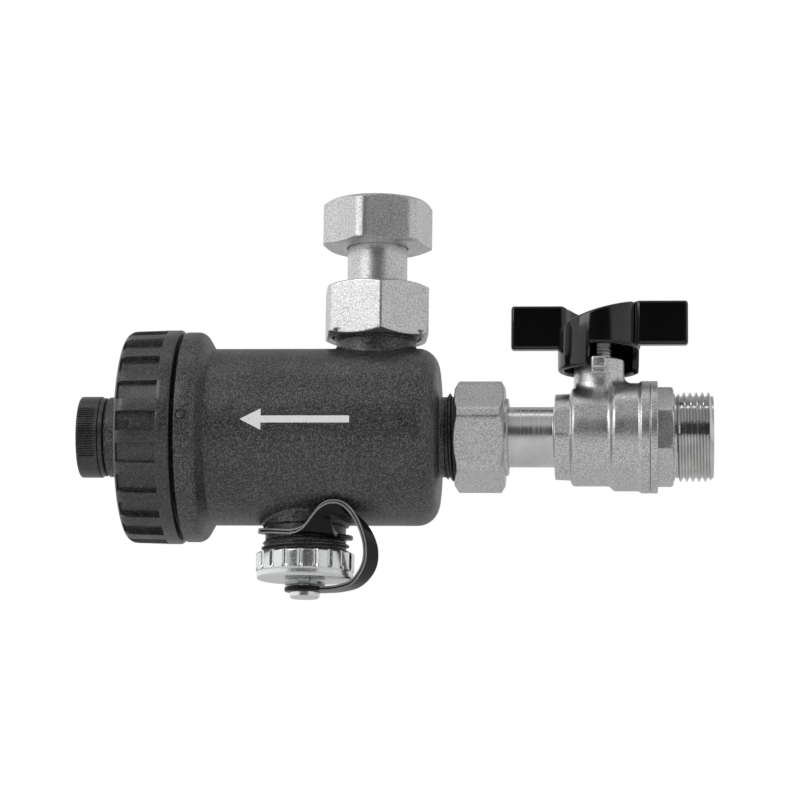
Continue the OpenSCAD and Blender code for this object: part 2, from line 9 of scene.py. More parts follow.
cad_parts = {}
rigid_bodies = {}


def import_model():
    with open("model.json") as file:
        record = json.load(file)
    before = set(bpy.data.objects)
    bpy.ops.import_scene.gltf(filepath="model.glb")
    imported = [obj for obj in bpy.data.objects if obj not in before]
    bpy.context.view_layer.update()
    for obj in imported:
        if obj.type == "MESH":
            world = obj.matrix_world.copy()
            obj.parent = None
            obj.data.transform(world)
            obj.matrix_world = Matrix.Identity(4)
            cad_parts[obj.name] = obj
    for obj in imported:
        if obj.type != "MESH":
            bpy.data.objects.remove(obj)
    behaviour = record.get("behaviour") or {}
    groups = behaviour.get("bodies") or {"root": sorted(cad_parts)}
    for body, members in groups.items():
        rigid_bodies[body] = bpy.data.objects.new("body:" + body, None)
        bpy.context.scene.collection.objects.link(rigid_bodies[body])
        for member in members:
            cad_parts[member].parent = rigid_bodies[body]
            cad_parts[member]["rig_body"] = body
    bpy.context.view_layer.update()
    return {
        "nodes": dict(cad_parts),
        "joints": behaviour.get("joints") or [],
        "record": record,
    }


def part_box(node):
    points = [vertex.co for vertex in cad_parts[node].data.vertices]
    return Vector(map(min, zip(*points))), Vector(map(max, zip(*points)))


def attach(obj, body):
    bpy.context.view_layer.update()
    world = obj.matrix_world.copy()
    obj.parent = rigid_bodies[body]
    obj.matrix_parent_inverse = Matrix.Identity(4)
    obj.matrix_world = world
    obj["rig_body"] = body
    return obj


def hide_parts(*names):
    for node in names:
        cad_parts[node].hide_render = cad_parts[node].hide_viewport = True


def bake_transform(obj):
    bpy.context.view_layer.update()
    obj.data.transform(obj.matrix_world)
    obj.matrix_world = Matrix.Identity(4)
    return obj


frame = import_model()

NODES = frame["nodes"]
MM = 0.001


# ---------------- places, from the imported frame

def corners(node):
    """Lowest and highest corner of a CAD node, in millimetres."""
    lo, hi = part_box(node)
    return np.array(lo) / MM, np.array(hi) / MM


def joint_place(name):
    """A joint's position in millimetres."""
    found = [j for j in frame["joints"] if j["name"] == name][0]
    return np.array(found["pos_m"]) / MM


END_X = corners("valve_end")[1][0]


def station(x):
    """Distance from the outlet end face, towards the closure."""
    return END_X - x


RING_LO, RING_HI = corners("lock_ring")
KNOB_LO, KNOB_HI = corners("magnet_knob")
CAP_LO, CAP_HI = corners("drain_cap")
OUTLET_NUT_LO, OUTLET_NUT_HI = corners("outlet_union_nut")
PORT_NUT_LO, PORT_NUT_HI = corners("port_union_nut")
BOILER_NUT_LO, BOILER_NUT_HI = corners("boiler_union_nut")
VALVE_HI = corners("valve_body")[1]
HANDLE_HI = corners("valve_handle")[1]
STEM_HI = corners("valve_stem")[1]

STEM_X = joint_place("handle_turn")[0]
PORT_X = joint_place("port_nut_turn")[0]
DRAIN_X = joint_place("drain_cap_turn")[0]

# G 3/4 pipe thread: its pitch, and its radius over the crests and at the roots
PIPE_PITCH = 1.814
PIPE_CREST = 13.22
PIPE_ROOT = 12.06


# ---------------- outlines and surfaces

def rounded(points, steps=5):
    """Outline through [radius, height, fillet] corners, in millimetres."""
    out = []
    for i, (r, s, fillet) in enumerate(points):
        here = np.array([r, s], float)
        if fillet <= 0 or i in (0, len(points) - 1):
            out.append(here)
            continue
        back = np.array(points[i - 1][:2], float) - here
        ahead = np.array(points[i + 1][:2], float) - here
        back_len, ahead_len = np.linalg.norm(back), np.linalg.norm(ahead)
        back, ahead = back / back_len, ahead / ahead_len
        half = math.acos(max(-1, min(1, back @ ahead))) / 2
        if half > math.pi / 2 - 0.02:
            out.append(here)
            continue
        reach = min(fillet / math.tan(half), 0.49 * back_len, 0.49 * ahead_len)
        radius = reach * math.tan(half)
        middle = (back + ahead) / np.linalg.norm(back + ahead)
        centre = here + middle * radius / math.sin(half)
        a, b = here + back * reach - centre, here + ahead * reach - centre
        from_a, to_b = math.atan2(a[1], a[0]), math.atan2(b[1], b[0])
        sweep = (to_b - from_a + math.pi) % (2 * math.pi) - math.pi
        for k in range(steps + 1):
            angle = from_a + sweep * k / steps
            out.append(centre + radius * np.array([math.cos(angle), math.sin(angle)]))
    return np.array(out)


def refined(outline, step):
    """The same outline with no gap between points longer than step."""
    out = [outline[0]]
    for a, b in zip(outline[:-1], outline[1:]):
        count = max(1, math.ceil(np.linalg.norm(b - a) / step))
        out += [a + (b - a) * k / count for k in range(1, count + 1)]
    return np.array(out)


def smooth_step(edge0, edge1, x):
    t = np.clip((x - edge0) / (edge1 - edge0), 0, 1)
    return t * t * (3 - 2 * t)


def soft_min(a, b, width):
    """The smaller of two values, with the crease between them rounded over width."""
    h = np.clip(0.5 + 0.5 * (b - a) / width, 0, 1)
    return b * (1 - h) + a * h - width * h * (1 - h)


class Level:
    """Axis of the casing and the valve: heights are stations, angle 0 faces -Y, 90 degrees faces up."""

    @staticmethod
    def place(r, theta, s):
        return np.stack([END_X - s, -r * np.cos(theta), r * np.sin(theta)], axis=-1)


class Upright:
    """A vertical axis at one X: angle 0 faces -Y and 90 degrees faces +X."""

    def __init__(self, x):
        self.x = x

    def place(self, r, theta, s):
        s = s + 0 * theta
        return np.stack([self.x + r * np.sin(theta), -r * np.cos(theta), s], axis=-1)


LEVEL = Level()
PORT_AXIS, DRAIN_AXIS, STEM_AXIS = Upright(PORT_X), Upright(DRAIN_X), Upright(STEM_X)


def even_angles(count):
    return np.arange(count) * 2 * math.pi / count


def circle(centre, across, up, radius, count):
    """Points round a circle that spans two directions."""
    return [centre + radius * (across * math.cos(a) + up * math.sin(a)) for a in even_angles(count)]


def grid_faces(rows, cols, shift=0, closed=False):
    """Quads between neighbouring rows; the last column meets the first, shift rows further on."""
    faces = []
    last = rows if closed else rows - 1
    for i in range(last):
        j = (i + 1) % rows
        for k in range(cols - 1):
            faces.append((i * cols + k, i * cols + k + 1, j * cols + k + 1, j * cols + k))
        a, b = min(i + shift, rows - 1), min(i + 1 + shift, rows - 1)
        if closed:
            a, b = i, j
        seam = (i * cols + cols - 1, a * cols, b * cols, j * cols + cols - 1)
        faces.append(seam if a != b else seam[:2] + seam[3:])
    return faces


def capped(rings):
    """Closed tube through rings of points."""
    rows, cols = len(rings), len(rings[0])
    faces = grid_faces(rows, cols)
    faces.append(tuple(range(cols)))
    faces.append(tuple(rows * cols - 1 - k for k in range(cols)))
    return np.array(rings).reshape(-1, 3), faces


def revolve(axis, outline, angles=96, shape=None, closed=False):
    """Turned surface from an outline; shape(theta, r, s) may change the radius and the height."""
    theta = even_angles(angles) if np.isscalar(angles) else np.asarray(angles)
    r = np.repeat(outline[:, 0][:, None], len(theta), axis=1)
    s = np.repeat(outline[:, 1][:, None], len(theta), axis=1)
    grid = np.repeat(theta[None, :], len(outline), axis=0)
    if shape:
        r, s = shape(grid, r, s)
    verts = axis.place(r, grid, s).reshape(-1, 3)
    return verts, grid_faces(len(outline), len(theta), closed=closed)


def turned_ring(axis, points, columns=96, steps=5):
    """Turned ring whose section is the closed outline through [radius, height, fillet] corners."""
    return revolve(axis, rounded(points, steps), columns, closed=True)


def rod(axis, steps, columns=96):
    """Solid rod of straight steps, each [radius, from height, to height]."""
    outline = [[0, steps[0][1]]]
    for radius, low, high in steps:
        outline += [[radius, low], [radius, high]]
    return revolve(axis, np.array(outline + [[0, steps[-1][2]]]), columns)


def thread(axis, low, high, root, crest, wall, low_end, high_end, segments=144, pitch=PIPE_PITCH):
    """Right-handed helical thread on a tube wall between two heights.

    low_end and high_end are [radius at the end, length over which the crest comes in].
    """
    # Each point is [share of the pitch, share of the depth]
    profile = [(0, 0), (1 / 6, 0), (0.26, 0.22), (0.42, 0.78),
               (0.5, 1), (2 / 3, 1), (0.75, 0.78), (0.91, 0.22)]
    turns = math.ceil((high - low) / pitch) + 1
    base = [low - pitch + (n + u) * pitch for n in range(turns + 1) for u, _ in profile]
    depth = [d for _ in range(turns + 1) for _, d in profile]
    theta = even_angles(segments)
    s = np.array(base)[:, None] + pitch * theta[None, :] / (2 * math.pi)
    deep = np.array(depth)[:, None] + 0 * theta[None, :]
    r = root + (crest - root) * deep
    for (end_r, run), distance in ((low_end, s - low), (high_end, high - s)):
        limit = end_r + (crest - end_r) * np.clip(distance / run, 0, 1)
        r = np.minimum(r, limit) if crest > root else np.maximum(r, limit)
    s = np.clip(s, low, high)
    verts = axis.place(r, theta[None, :] + 0 * s, s).reshape(-1, 3)
    rows, cols, per_turn = len(base), segments, len(profile)
    faces = grid_faces(rows, cols, shift=per_turn)
    count = len(verts)
    for end, z in ((0, low), (rows - 1, high)):
        rim = axis.place(wall + 0 * theta, theta, z + 0 * theta)
        start = count
        verts = np.vstack([verts, rim])
        count += cols
        for k in range(cols):
            nxt = (k + 1) % cols
            row_next = end if nxt else min(end + per_turn, rows - 1)
            faces.append((end * cols + k, row_next * cols + nxt, start + nxt, start + k))
    lower, upper = count - 2 * cols, count - cols
    for k in range(cols):
        nxt = (k + 1) % cols
        faces.append((lower + k, lower + nxt, upper + nxt, upper + k))
    return verts, faces


# ---------------- making objects

def add_object(name, data):
    obj = bpy.data.objects.new(name, data)
    bpy.context.scene.collection.objects.link(obj)
    return obj


def build(name, parts, sharp=35):
    """One object from [vertices in millimetres, faces] parts, welded and with its normals outward."""
    verts, faces = [], []
    for part_verts, part_faces in parts:
        start = len(verts)
        verts += [tuple(v) for v in np.asarray(part_verts) * MM]
        faces += [tuple(start + i for i in f) for f in part_faces]
    mesh = bpy.data.meshes.new(name)
    mesh.from_pydata(verts, [], faces)
    clean(mesh)
    obj = add_object(name, mesh)
    shade(obj, sharp)
    return obj


def clean(mesh):
    """Welds points that coincide and turns the faces outward."""
    gap = 2e-6
    bm = bmesh.new()
    bm.from_mesh(mesh)
    bmesh.ops.remove_doubles(bm, verts=bm.verts, dist=gap)
    bmesh.ops.dissolve_degenerate(bm, edges=bm.edges, dist=gap / 4)
    bmesh.ops.recalc_face_normals(bm, faces=bm.faces)
    bm.to_mesh(mesh)
    bm.free()


def shade(obj, sharp=35):
    for face in obj.data.polygons:
        face.use_smooth = True
    obj.data.set_sharp_from_angle(angle=math.radians(sharp))


def apply_modifiers(obj):
    bpy.context.view_layer.update()
    graph = bpy.context.evaluated_depsgraph_get()
    made = bpy.data.meshes.new_from_object(obj.evaluated_get(graph))
    obj.modifiers.clear()
    obj.data = made


def combine(obj, tools, operation):
    """Boolean of obj with each tool, which is used up."""
    for tool in tools:
        step = obj.modifiers.new("combine", "BOOLEAN")
        step.operation = operation
        step.solver = "EXACT"
        step.object = tool
    apply_modifiers(obj)
    for tool in tools:
        bpy.data.objects.remove(tool)
    return obj


def bevelled(obj, width, segments):
    """Rounds the edges of a box."""
    step = obj.modifiers.new("bevel", "BEVEL")
    step.width = width * MM
    step.segments = segments
    step.limit_method = "ANGLE"
    step.angle_limit = math.radians(30)
    step.harden_normals = False
    apply_modifiers(obj)
    shade(obj)
    return obj


def body_of(node):
    return NODES[node]["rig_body"]


def finish_piece(obj, material, body, node=None):
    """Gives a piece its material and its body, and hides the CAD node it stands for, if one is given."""
    obj.data.materials.clear()
    obj.data.materials.append(material)
    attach(obj, body)
    if node:
        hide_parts(node)
    return obj


# ---------------- materials

class Look:
    """A principled material, whose even values sit on the shader's own sockets."""

    def __init__(self, name, color, roughness, metallic=0.0):
        self.material = bpy.data.materials.new(name)
        self.material.use_nodes = True
        self.tree = self.material.node_tree
        self.shader = self.tree.nodes["Principled BSDF"]
        self.even("Base Color", (*color, 1))
        self.even("Roughness", roughness)
        self.even("Metallic", metallic)

    def even(self, socket, value):
        self.shader.inputs[socket].default_value = value

    def vary(self, socket, value, *stops):
        """A ramp along a value drives a socket; stops are (position, colour or grey)."""
        self.tree.links.new(ramp(self.tree, value, stops), self.shader.inputs[socket])

    def place(self, stretch=(1, 1, 1)):
        """Object coordinates, stretched along each axis."""
        coords = self.tree.nodes.new("ShaderNodeTexCoord")
        mapping = self.tree.nodes.new("ShaderNodeMapping")
        mapping.inputs["Scale"].default_value = stretch
        self.tree.links.new(coords.outputs["Object"], mapping.inputs["Vector"])
        return mapping.outputs["Vector"]

    def noise(self, scale, detail, roughness, stretch=(1, 1, 1)):
        node = add_node(self.tree, "ShaderNodeTexNoise", Scale=scale, Detail=detail, Roughness=roughness)
        self.tree.links.new(self.place(stretch), node.inputs["Vector"])
        return node.outputs["Fac"]

    def bump(self, *layers):
        """Bump from (height output, strength, distance in millimetres) layers."""
        normal = None
        for height, strength, distance in layers:
            node = add_node(self.tree, "ShaderNodeBump", Strength=strength, Distance=distance * MM)
            self.tree.links.new(height, node.inputs["Height"])
            if normal:
                self.tree.links.new(normal, node.inputs["Normal"])
            normal = node.outputs["Normal"]
        self.tree.links.new(normal, self.shader.inputs["Normal"])


def add_node(tree, kind, **inputs):
    node = tree.nodes.new(kind)
    for name, value in inputs.items():
        node.inputs[name].default_value = value
    return node


def math_node(tree, operation, *values):
    """Result of a sum on values that are each an output or a number."""
    node = tree.nodes.new("ShaderNodeMath")
    node.operation = operation
    for socket, value in zip(node.inputs, values):
        if isinstance(value, (int, float)):
            socket.default_value = value
        else:
            tree.links.new(value, socket)
    return node.outputs[0]


def ramp(tree, value, stops):
    """Colour or grey along a value: stops are [position, colour or grey]."""
    node = tree.nodes.new("ShaderNodeValToRGB")
    while len(node.color_ramp.elements) < len(stops):
        node.color_ramp.elements.new(0.5)
    for element, (position, shade_of) in zip(node.color_ramp.elements, stops):
        color = (shade_of,) * 3 if np.isscalar(shade_of) else shade_of
        element.position = position
        element.color = (*color, 1)
    tree.links.new(value, node.inputs["Fac"])
    return node.outputs["Color"]


def scaled(color, factor):
    return [c * factor for c in color]


def moulded_nylon(name, dark, light, roughness, grain):
    """Glass-filled nylon: a fine eroded grain with pale specks, and cloudy flow marks."""
    look = Look(name, dark, roughness)
    look.even("Specular IOR Level", 0.8)
    cloud, fine = look.noise(60, 5, 0.6), look.noise(2200, 1, 0.5)
    flow = look.noise(260, 4, 0.65, (0.5, 1, 1))
    speckle = math_node(look.tree, "MULTIPLY", fine, 0.85)
    mixed = math_node(look.tree, "MULTIPLY_ADD", cloud, 0.15, speckle)
    middle = [0.8 * a + 0.2 * b for a, b in zip(dark, light)]
    look.vary("Base Color", mixed, (0.40, dark), (0.50, middle), (0.61, light))
    look.vary("Roughness", flow, (0.3, roughness - 0.06), (0.7, roughness + 0.1))
    look.bump((fine, 0.4 * grain, 0.06), (flow, 0.12 * grain, 0.06))
    return look.material


def glossy_black():
    look = Look("gloss_black", (0.0016, 0.0016, 0.0018), 0.12)
    look.even("Coat Weight", 0.25)
    look.even("Coat Roughness", 0.05)
    orange_peel, dust = look.noise(420, 2, 0.4), look.noise(1600, 2, 0.6)
    look.vary("Roughness", dust, (0.45, 0.09), (0.75, 0.2))
    look.bump((orange_peel, 0.06, 0.08))
    return look.material


def blasted_nickel():
    """Nickel plate over a shot-blasted forging."""
    look = Look("nickel_brass", (0.62, 0.625, 0.63), 0.4, 1.0)
    grit, dents, cloud = look.noise(2700, 1, 0.5), look.noise(1500, 2, 0.6), look.noise(90, 3, 0.5)
    look.vary("Base Color", grit, (0.38, (0.46, 0.465, 0.47)), (0.62, (0.80, 0.80, 0.795)))
    look.vary("Roughness", cloud, (0.35, 0.3), (0.65, 0.4))
    look.bump((grit, 0.4, 0.05), (dents, 0.3, 0.05))
    return look.material


def turned_nickel(name, roughness):
    """Nickel plate over turned metal, with fine tool rings across its level axis."""
    color = (0.72, 0.72, 0.715)
    look = Look(name, color, roughness, 1.0)
    rings, cloud = look.noise(900, 2, 0.5, (1, 0.02, 0.02)), look.noise(120, 3, 0.55)
    look.vary("Base Color", cloud, (0.35, scaled(color, 0.88)), (0.65, scaled(color, 1.06)))
    look.vary("Roughness", rings, (0.35, roughness - 0.05), (0.65, roughness + 0.1))
    look.bump((rings, 0.12, 0.02))
    return look.material


def polished_chrome():
    look = Look("chrome_plate", (0.80, 0.81, 0.82), 0.2, 1.0)
    waves, marks = look.noise(260, 2, 0.5), look.noise(1300, 3, 0.65)
    look.vary("Roughness", marks, (0.35, 0.17), (0.7, 0.32))
    look.bump((waves, 0.1, 0.06), (marks, 0.2, 0.04))
    return look.material


def plain_metal(name, color, roughness, scale=700):
    """Machined or plated metal with small marks."""
    look = Look(name, color, roughness, 1.0)
    marks = look.noise(scale, 4, 0.6)
    look.vary("Base Color", marks, (0.3, scaled(color, 0.8)), (0.7, color))
    look.vary("Roughness", marks, (0.3, roughness), (0.7, roughness + 0.12))
    look.bump((marks, 0.1, 0.03))
    return look.material


def woven_mesh():
    """Stainless sheet with a fine woven pattern."""
    look = Look("steel_mesh", (0.42, 0.43, 0.44), 0.3, 1.0)
    weave = add_node(look.tree, "ShaderNodeTexWave", Scale=900)
    look.tree.links.new(look.place(), weave.inputs["Vector"])
    look.vary("Base Color", weave.outputs["Fac"], (0.2, 0.12), (0.6, 0.5))
    look.bump((weave.outputs["Fac"], 0.4, 0.06))
    return look.material


def soft_plastic(name, color, roughness, scale=900, specular=0.5):
    """Plain moulded plastic, rubber or fibre with a fine surface."""
    look = Look(name, color, roughness)
    look.even("Specular IOR Level", specular)
    fine, cloud = look.noise(scale, 3, 0.6), look.noise(110, 3, 0.5)
    look.vary("Base Color", cloud, (0.35, scaled(color, 0.8)), (0.65, scaled(color, 1.15)))
    look.vary("Roughness", fine, (0.35, roughness - 0.06), (0.65, roughness + 0.06))
    look.bump((fine, 0.15, 0.03))
    return look.material


def printed_white():
    look = Look("printed_white", (0.86, 0.86, 0.86), 0.5)
    worn = look.noise(800, 4, 0.6)
    look.vary("Base Color", worn, (0.25, 0.84), (0.45, 0.97))
    look.bump((worn, 0.1, 0.02))
    return look.material


DARK_NYLON = (0.002, 0.002, 0.0022)
MATERIALS = {
    "black_nylon": moulded_nylon("black_nylon", DARK_NYLON, (0.115, 0.115, 0.117), 0.37, 1.5),
    "ring_nylon": moulded_nylon("ring_nylon", (0.006, 0.006, 0.0062), (0.07, 0.07, 0.072), 0.32, 0.5),
    "knob_nylon": moulded_nylon("knob_nylon", DARK_NYLON, (0.05, 0.05, 0.051), 0.32, 0.6),
    "strap_plastic": soft_plastic("strap_plastic", (0.003, 0.003, 0.0032), 0.22, specular=0.25),
    "gloss_black": glossy_black(),
    "nickel_brass": blasted_nickel(),
    "bright_nickel": turned_nickel("bright_nickel", 0.13),
    "chrome_plate": polished_chrome(),
    "plain_brass": plain_metal("plain_brass", (0.62, 0.5, 0.3), 0.28),
    "zinc_steel": plain_metal("zinc_steel", (0.6, 0.61, 0.62), 0.3),
    "steel_mesh": woven_mesh(),
    "magnet_grey": plain_metal("magnet_grey", (0.42, 0.43, 0.44), 0.22, 500),
    "ptfe": soft_plastic("ptfe", (0.8, 0.79, 0.76), 0.5),
    "rubber_seal": soft_plastic("rubber_seal", (0.012, 0.012, 0.012), 0.6),
    "fibre_seal": soft_plastic("fibre_seal", (0.05, 0.14, 0.09), 0.8, 1500),
}
WHITE = printed_white()
TAIL_NICKEL = turned_nickel("tail_nickel", 0.22)
# Light grey of the beads along the strap's edges: a painted highlight on those edges
STRAP_PAINTED_HIGHLIGHT = soft_plastic("strap_painted_highlight", (0.3, 0.3, 0.302), 0.2)
SLOT_OF = {s["node"]: s["material_slot"] for s in frame["record"]["subparts"]}

# Nodes whose finish isn't the one of their slot
OTHER_FINISH = {"boiler_tail": "nickel_brass", "pin_washer": "magnet_grey"}


def dress_cad_nodes():
    """Every CAD node gets the procedural material of its slot, or the finish given for it above."""
    for name, obj in NODES.items():
        obj.data.materials.clear()
        obj.data.materials.append(MATERIALS[OTHER_FINISH.get(name, SLOT_OF[name])])
        shade(obj, 30)


def standing_for(obj, node, material=None):
    """Dresses a piece that stands for one CAD node, on that node's body."""
    slot = SLOT_OF[node]
    return finish_piece(obj, material or MATERIALS[slot], body_of(node), node)


# ---------------- casing

# Stations of the outlet neck's root, of the casing's rounded end and of its flange's face
NECK_AT, CASING_END, FLANGE_FACE = 79.4, 81.2, 157.0
CASING_R, CASING_ROUND = 26.5, 6.4
FLANGE_R = 31.5
NECK_R = 12.0
PORT_BORE_R = 8.2
CHAMBER_R, CHAMBER_END = 23.1, 84.8
SPOUT_BOSS_Z, SPOUT_THREAD_Z = -26.9, -31.4
MOULDED_CREST = PIPE_CREST - 0.12
# How a moulded thread ends at its free end and at its root: [radius, length of the run-out]
FREE_END, ROOT_END = [11.6, 1.5], [11.9, 1.3]


def casing_radius(at):
    """Outer radius of the casing's wall at a station."""
    into_round = np.clip(CASING_END + CASING_ROUND + 0.3 - at, 0, CASING_ROUND)
    return CASING_R - CASING_ROUND + np.sqrt(CASING_ROUND ** 2 - into_round ** 2)


def barrel_radius(at):
    """Outer radius of the valve's barrels at a station."""
    return 16.1 - 1.45 * smooth_step(29.0, 30.9, at) - 3.4 * smooth_step(40.6, 42.4, at)


def port_stub(x, wall_r, top, deep, fillet, radius_at, up=1, collar=None):
    """Closed solid standing on a level barrel, with a hollow fillet where it lands on the barrel."""
    rows = [[0, top], [wall_r - 0.3, top], [wall_r, top - up * 0.3]]
    if collar:
        rows = [[0, top], [collar[0] - 0.3, top], [collar[0], top - up * 0.3],
                [collar[0], collar[1] + up * 0.5], [wall_r, collar[1]]]
    flare = [[wall_r + fillet - fillet * math.cos(a), fillet - fillet * math.sin(a)]
             for a in np.radians(np.arange(0, 91, 11.25))]
    flare.append([wall_r + fillet + 0.35, -0.12])
    outline = np.array(rows + flare + [[wall_r + fillet, -3.5], [0, -3.5]])
    first, last = len(rows), len(rows) + len(flare)

    def landed(theta, r, s):
        at = station(x + r * np.sin(theta))
        surface = np.sqrt(np.maximum(radius_at(at) ** 2 - (r * np.cos(theta)) ** 2, 1))
        s[first:last] = up * (surface[first:last] + outline[first:last, 1][:, None])
        s[last:] = up * deep
        return r, s

    return revolve(Upright(x), outline, 192, landed)


def mark_groove(name, centre, outward, radius):
    """Tool that cuts a round moulding mark's groove into a surface that faces outward."""
    columns, clear, deep = 48, 0.8, -0.45
    outline = [[radius - 0.28, clear], [radius + 0.28, clear], [radius + 0.18, deep], [radius - 0.18, deep]]
    outward = np.array(outward) / np.linalg.norm(outward)
    side = np.cross(outward, [0, 0, 1.0])
    side /= np.linalg.norm(side)
    over = np.cross(outward, side)
    rings = [circle(np.array(centre) + outward * h, side, over, r, columns) for r, h in outline]
    faces = grid_faces(len(outline), columns, closed=True)
    return build(name, [(np.array(rings).reshape(-1, 3), faces)])


def make_casing():
    shell = rounded([
        [PORT_BORE_R, NECK_AT, 0], [NECK_R, NECK_AT, 0], [NECK_R, CASING_END, 1.3],
        [CASING_R, CASING_END + 0.3, CASING_ROUND], [CASING_R, 148.8, 0.6], [FLANGE_R, 151.7, 3.2],
        [FLANGE_R, FLANGE_FACE, 0.45], [27.2, FLANGE_FACE, 0], [CHAMBER_R, FLANGE_FACE, 0],
        [CHAMBER_R, CHAMBER_END, 2.5], [PORT_BORE_R, CHAMBER_END, 0], [PORT_BORE_R, NECK_AT, 0],
    ], 8)[:-1]
    casing = build("casing", [revolve(LEVEL, refined(shell, 3.0), 288, closed=True)])
    upper = build("upper_stub", [port_stub(PORT_X, NECK_R, 28.9, 20, 1.0, casing_radius)])
    lower = build("lower_stub", [port_stub(
        DRAIN_X, 12.75, SPOUT_THREAD_Z, 20, 0.8, casing_radius, -1, [NECK_R, SPOUT_BOSS_Z])])
    combine(casing, [upper, lower], "UNION")
    bores = [
        build("upper_bore", [rod(PORT_AXIS, [[PORT_BORE_R, 15, 40]])]),
        build("lower_bore", [rod(DRAIN_AXIS, [[PORT_BORE_R, -45, -15]])]),
    ]
    marks = [
        mark_groove("flange_mark", [END_X - 154.9, 0.05 - FLANGE_R, 1.8], [0, -1, 0.058], 1.35),
        mark_groove("upper_mark", [PORT_X - 1.6, 0.09 - NECK_R, 28.1], [-0.133, -1, 0], 1.9),
        mark_groove("lower_mark", [DRAIN_X - 0.4, -12.77, -25.9], [0, -1, 0], 1.9),
    ]
    combine(casing, bores + marks, "DIFFERENCE")
    threads = build("casing_threads", [
        thread(LEVEL, 69.4, NECK_AT + 0.1, PIPE_ROOT, MOULDED_CREST, PORT_BORE_R, FREE_END, ROOT_END),
        thread(PORT_AXIS, 28.8, 38.6, PIPE_ROOT, MOULDED_CREST, PORT_BORE_R, ROOT_END, FREE_END),
        thread(DRAIN_AXIS, -39.8, SPOUT_THREAD_Z + 0.1, PIPE_ROOT, MOULDED_CREST, PORT_BORE_R,
               FREE_END, ROOT_END),
        thread(LEVEL, FLANGE_FACE - 0.3, 169.0, 27.4, 28.6, 24.0, [27.2, 1.5], [26.9, 1.5], 192, 4.0),
    ])
    join([casing, threads])
    shade(casing, 38)
    standing_for(casing, "filter_body")
    arrow = build("flow_arrow", flow_arrow(LEVEL, 106, 138, 1.2, 1.05, 3.2, casing_radius, 0.03))
    finish_piece(arrow, WHITE, "filter")


def join(objects):
    """Joins objects into the first one without welding them."""
    with bpy.context.temp_override(
        active_object=objects[0], object=objects[0], selected_editable_objects=objects,
        selected_objects=objects,
    ):
        bpy.ops.object.join()
    return objects[0]


PATCH_SINK = 0.12


def wrapped_patch(axis, corners_at, radius_at, lift, cuts=(12, 4)):
    """Thin plate on a barrel, sunk a little into it; corners are [station, distance round] in order."""
    a, b, c, d = [np.array(p, float) for p in corners_at]
    n, m = cuts
    verts = []
    for level in (lift, -PATCH_SINK):
        for i in range(n + 1):
            for j in range(m + 1):
                u, v = i / n, j / m
                at, arc = (a * (1 - u) + b * u) * (1 - v) + (d * (1 - u) + c * u) * v
                r = float(radius_at(at))
                verts.append(axis.place(r + level, np.float64(arc / r), np.float64(at)))
    half = (n + 1) * (m + 1)
    faces = []
    for i in range(n):
        for j in range(m):
            k = i * (m + 1) + j
            faces.append((k, k + 1, k + m + 2, k + m + 1))
            faces.append((half + k, half + k + m + 1, half + k + m + 2, half + k + 1))
    rim = [i * (m + 1) for i in range(n)] + [n * (m + 1) + j for j in range(m)]
    rim += [(n - i) * (m + 1) + m for i in range(n)] + [m - j for j in range(m)]
    for k, nxt in zip(rim, rim[1:] + rim[:1]):
        faces.append((k, nxt, half + nxt, half + k))
    return np.array(verts), faces


def flow_arrow(axis, tail, tip, centre, half_shaft, half_head, radius_at, lift):
    """Plain arrow along a barrel, from the station of its tail to that of its tip."""
    neck = tip + 1.9 * half_head * (1 if tail > tip else -1)
    shaft = [[tail, centre - half_shaft], [neck, centre - half_shaft],
             [neck, centre + half_shaft], [tail, centre + half_shaft]]
    head = [[neck, centre - half_head], [tip, centre - 0.05], [tip, centre + 0.05],
            [neck, centre + half_head]]
    return [
        wrapped_patch(axis, shaft, radius_at, lift, cuts=(24, 4)),
        wrapped_patch(axis, head, radius_at, lift, cuts=(8, 8)),
    ]


# ---------------- lock ring and knob

# Grip recesses: how many, half their width in degrees, their depth and the station where they start
GRIP_COUNT = 21
GRIP_HALF = 5.0
GRIP_DEPTH = 1.6
GRIP_START = 162.0
# The ring's inner radius, and how much its outer radius falls from the recesses' start to its end
RING_BORE_R = 29.0
RING_TAPER = 0.4


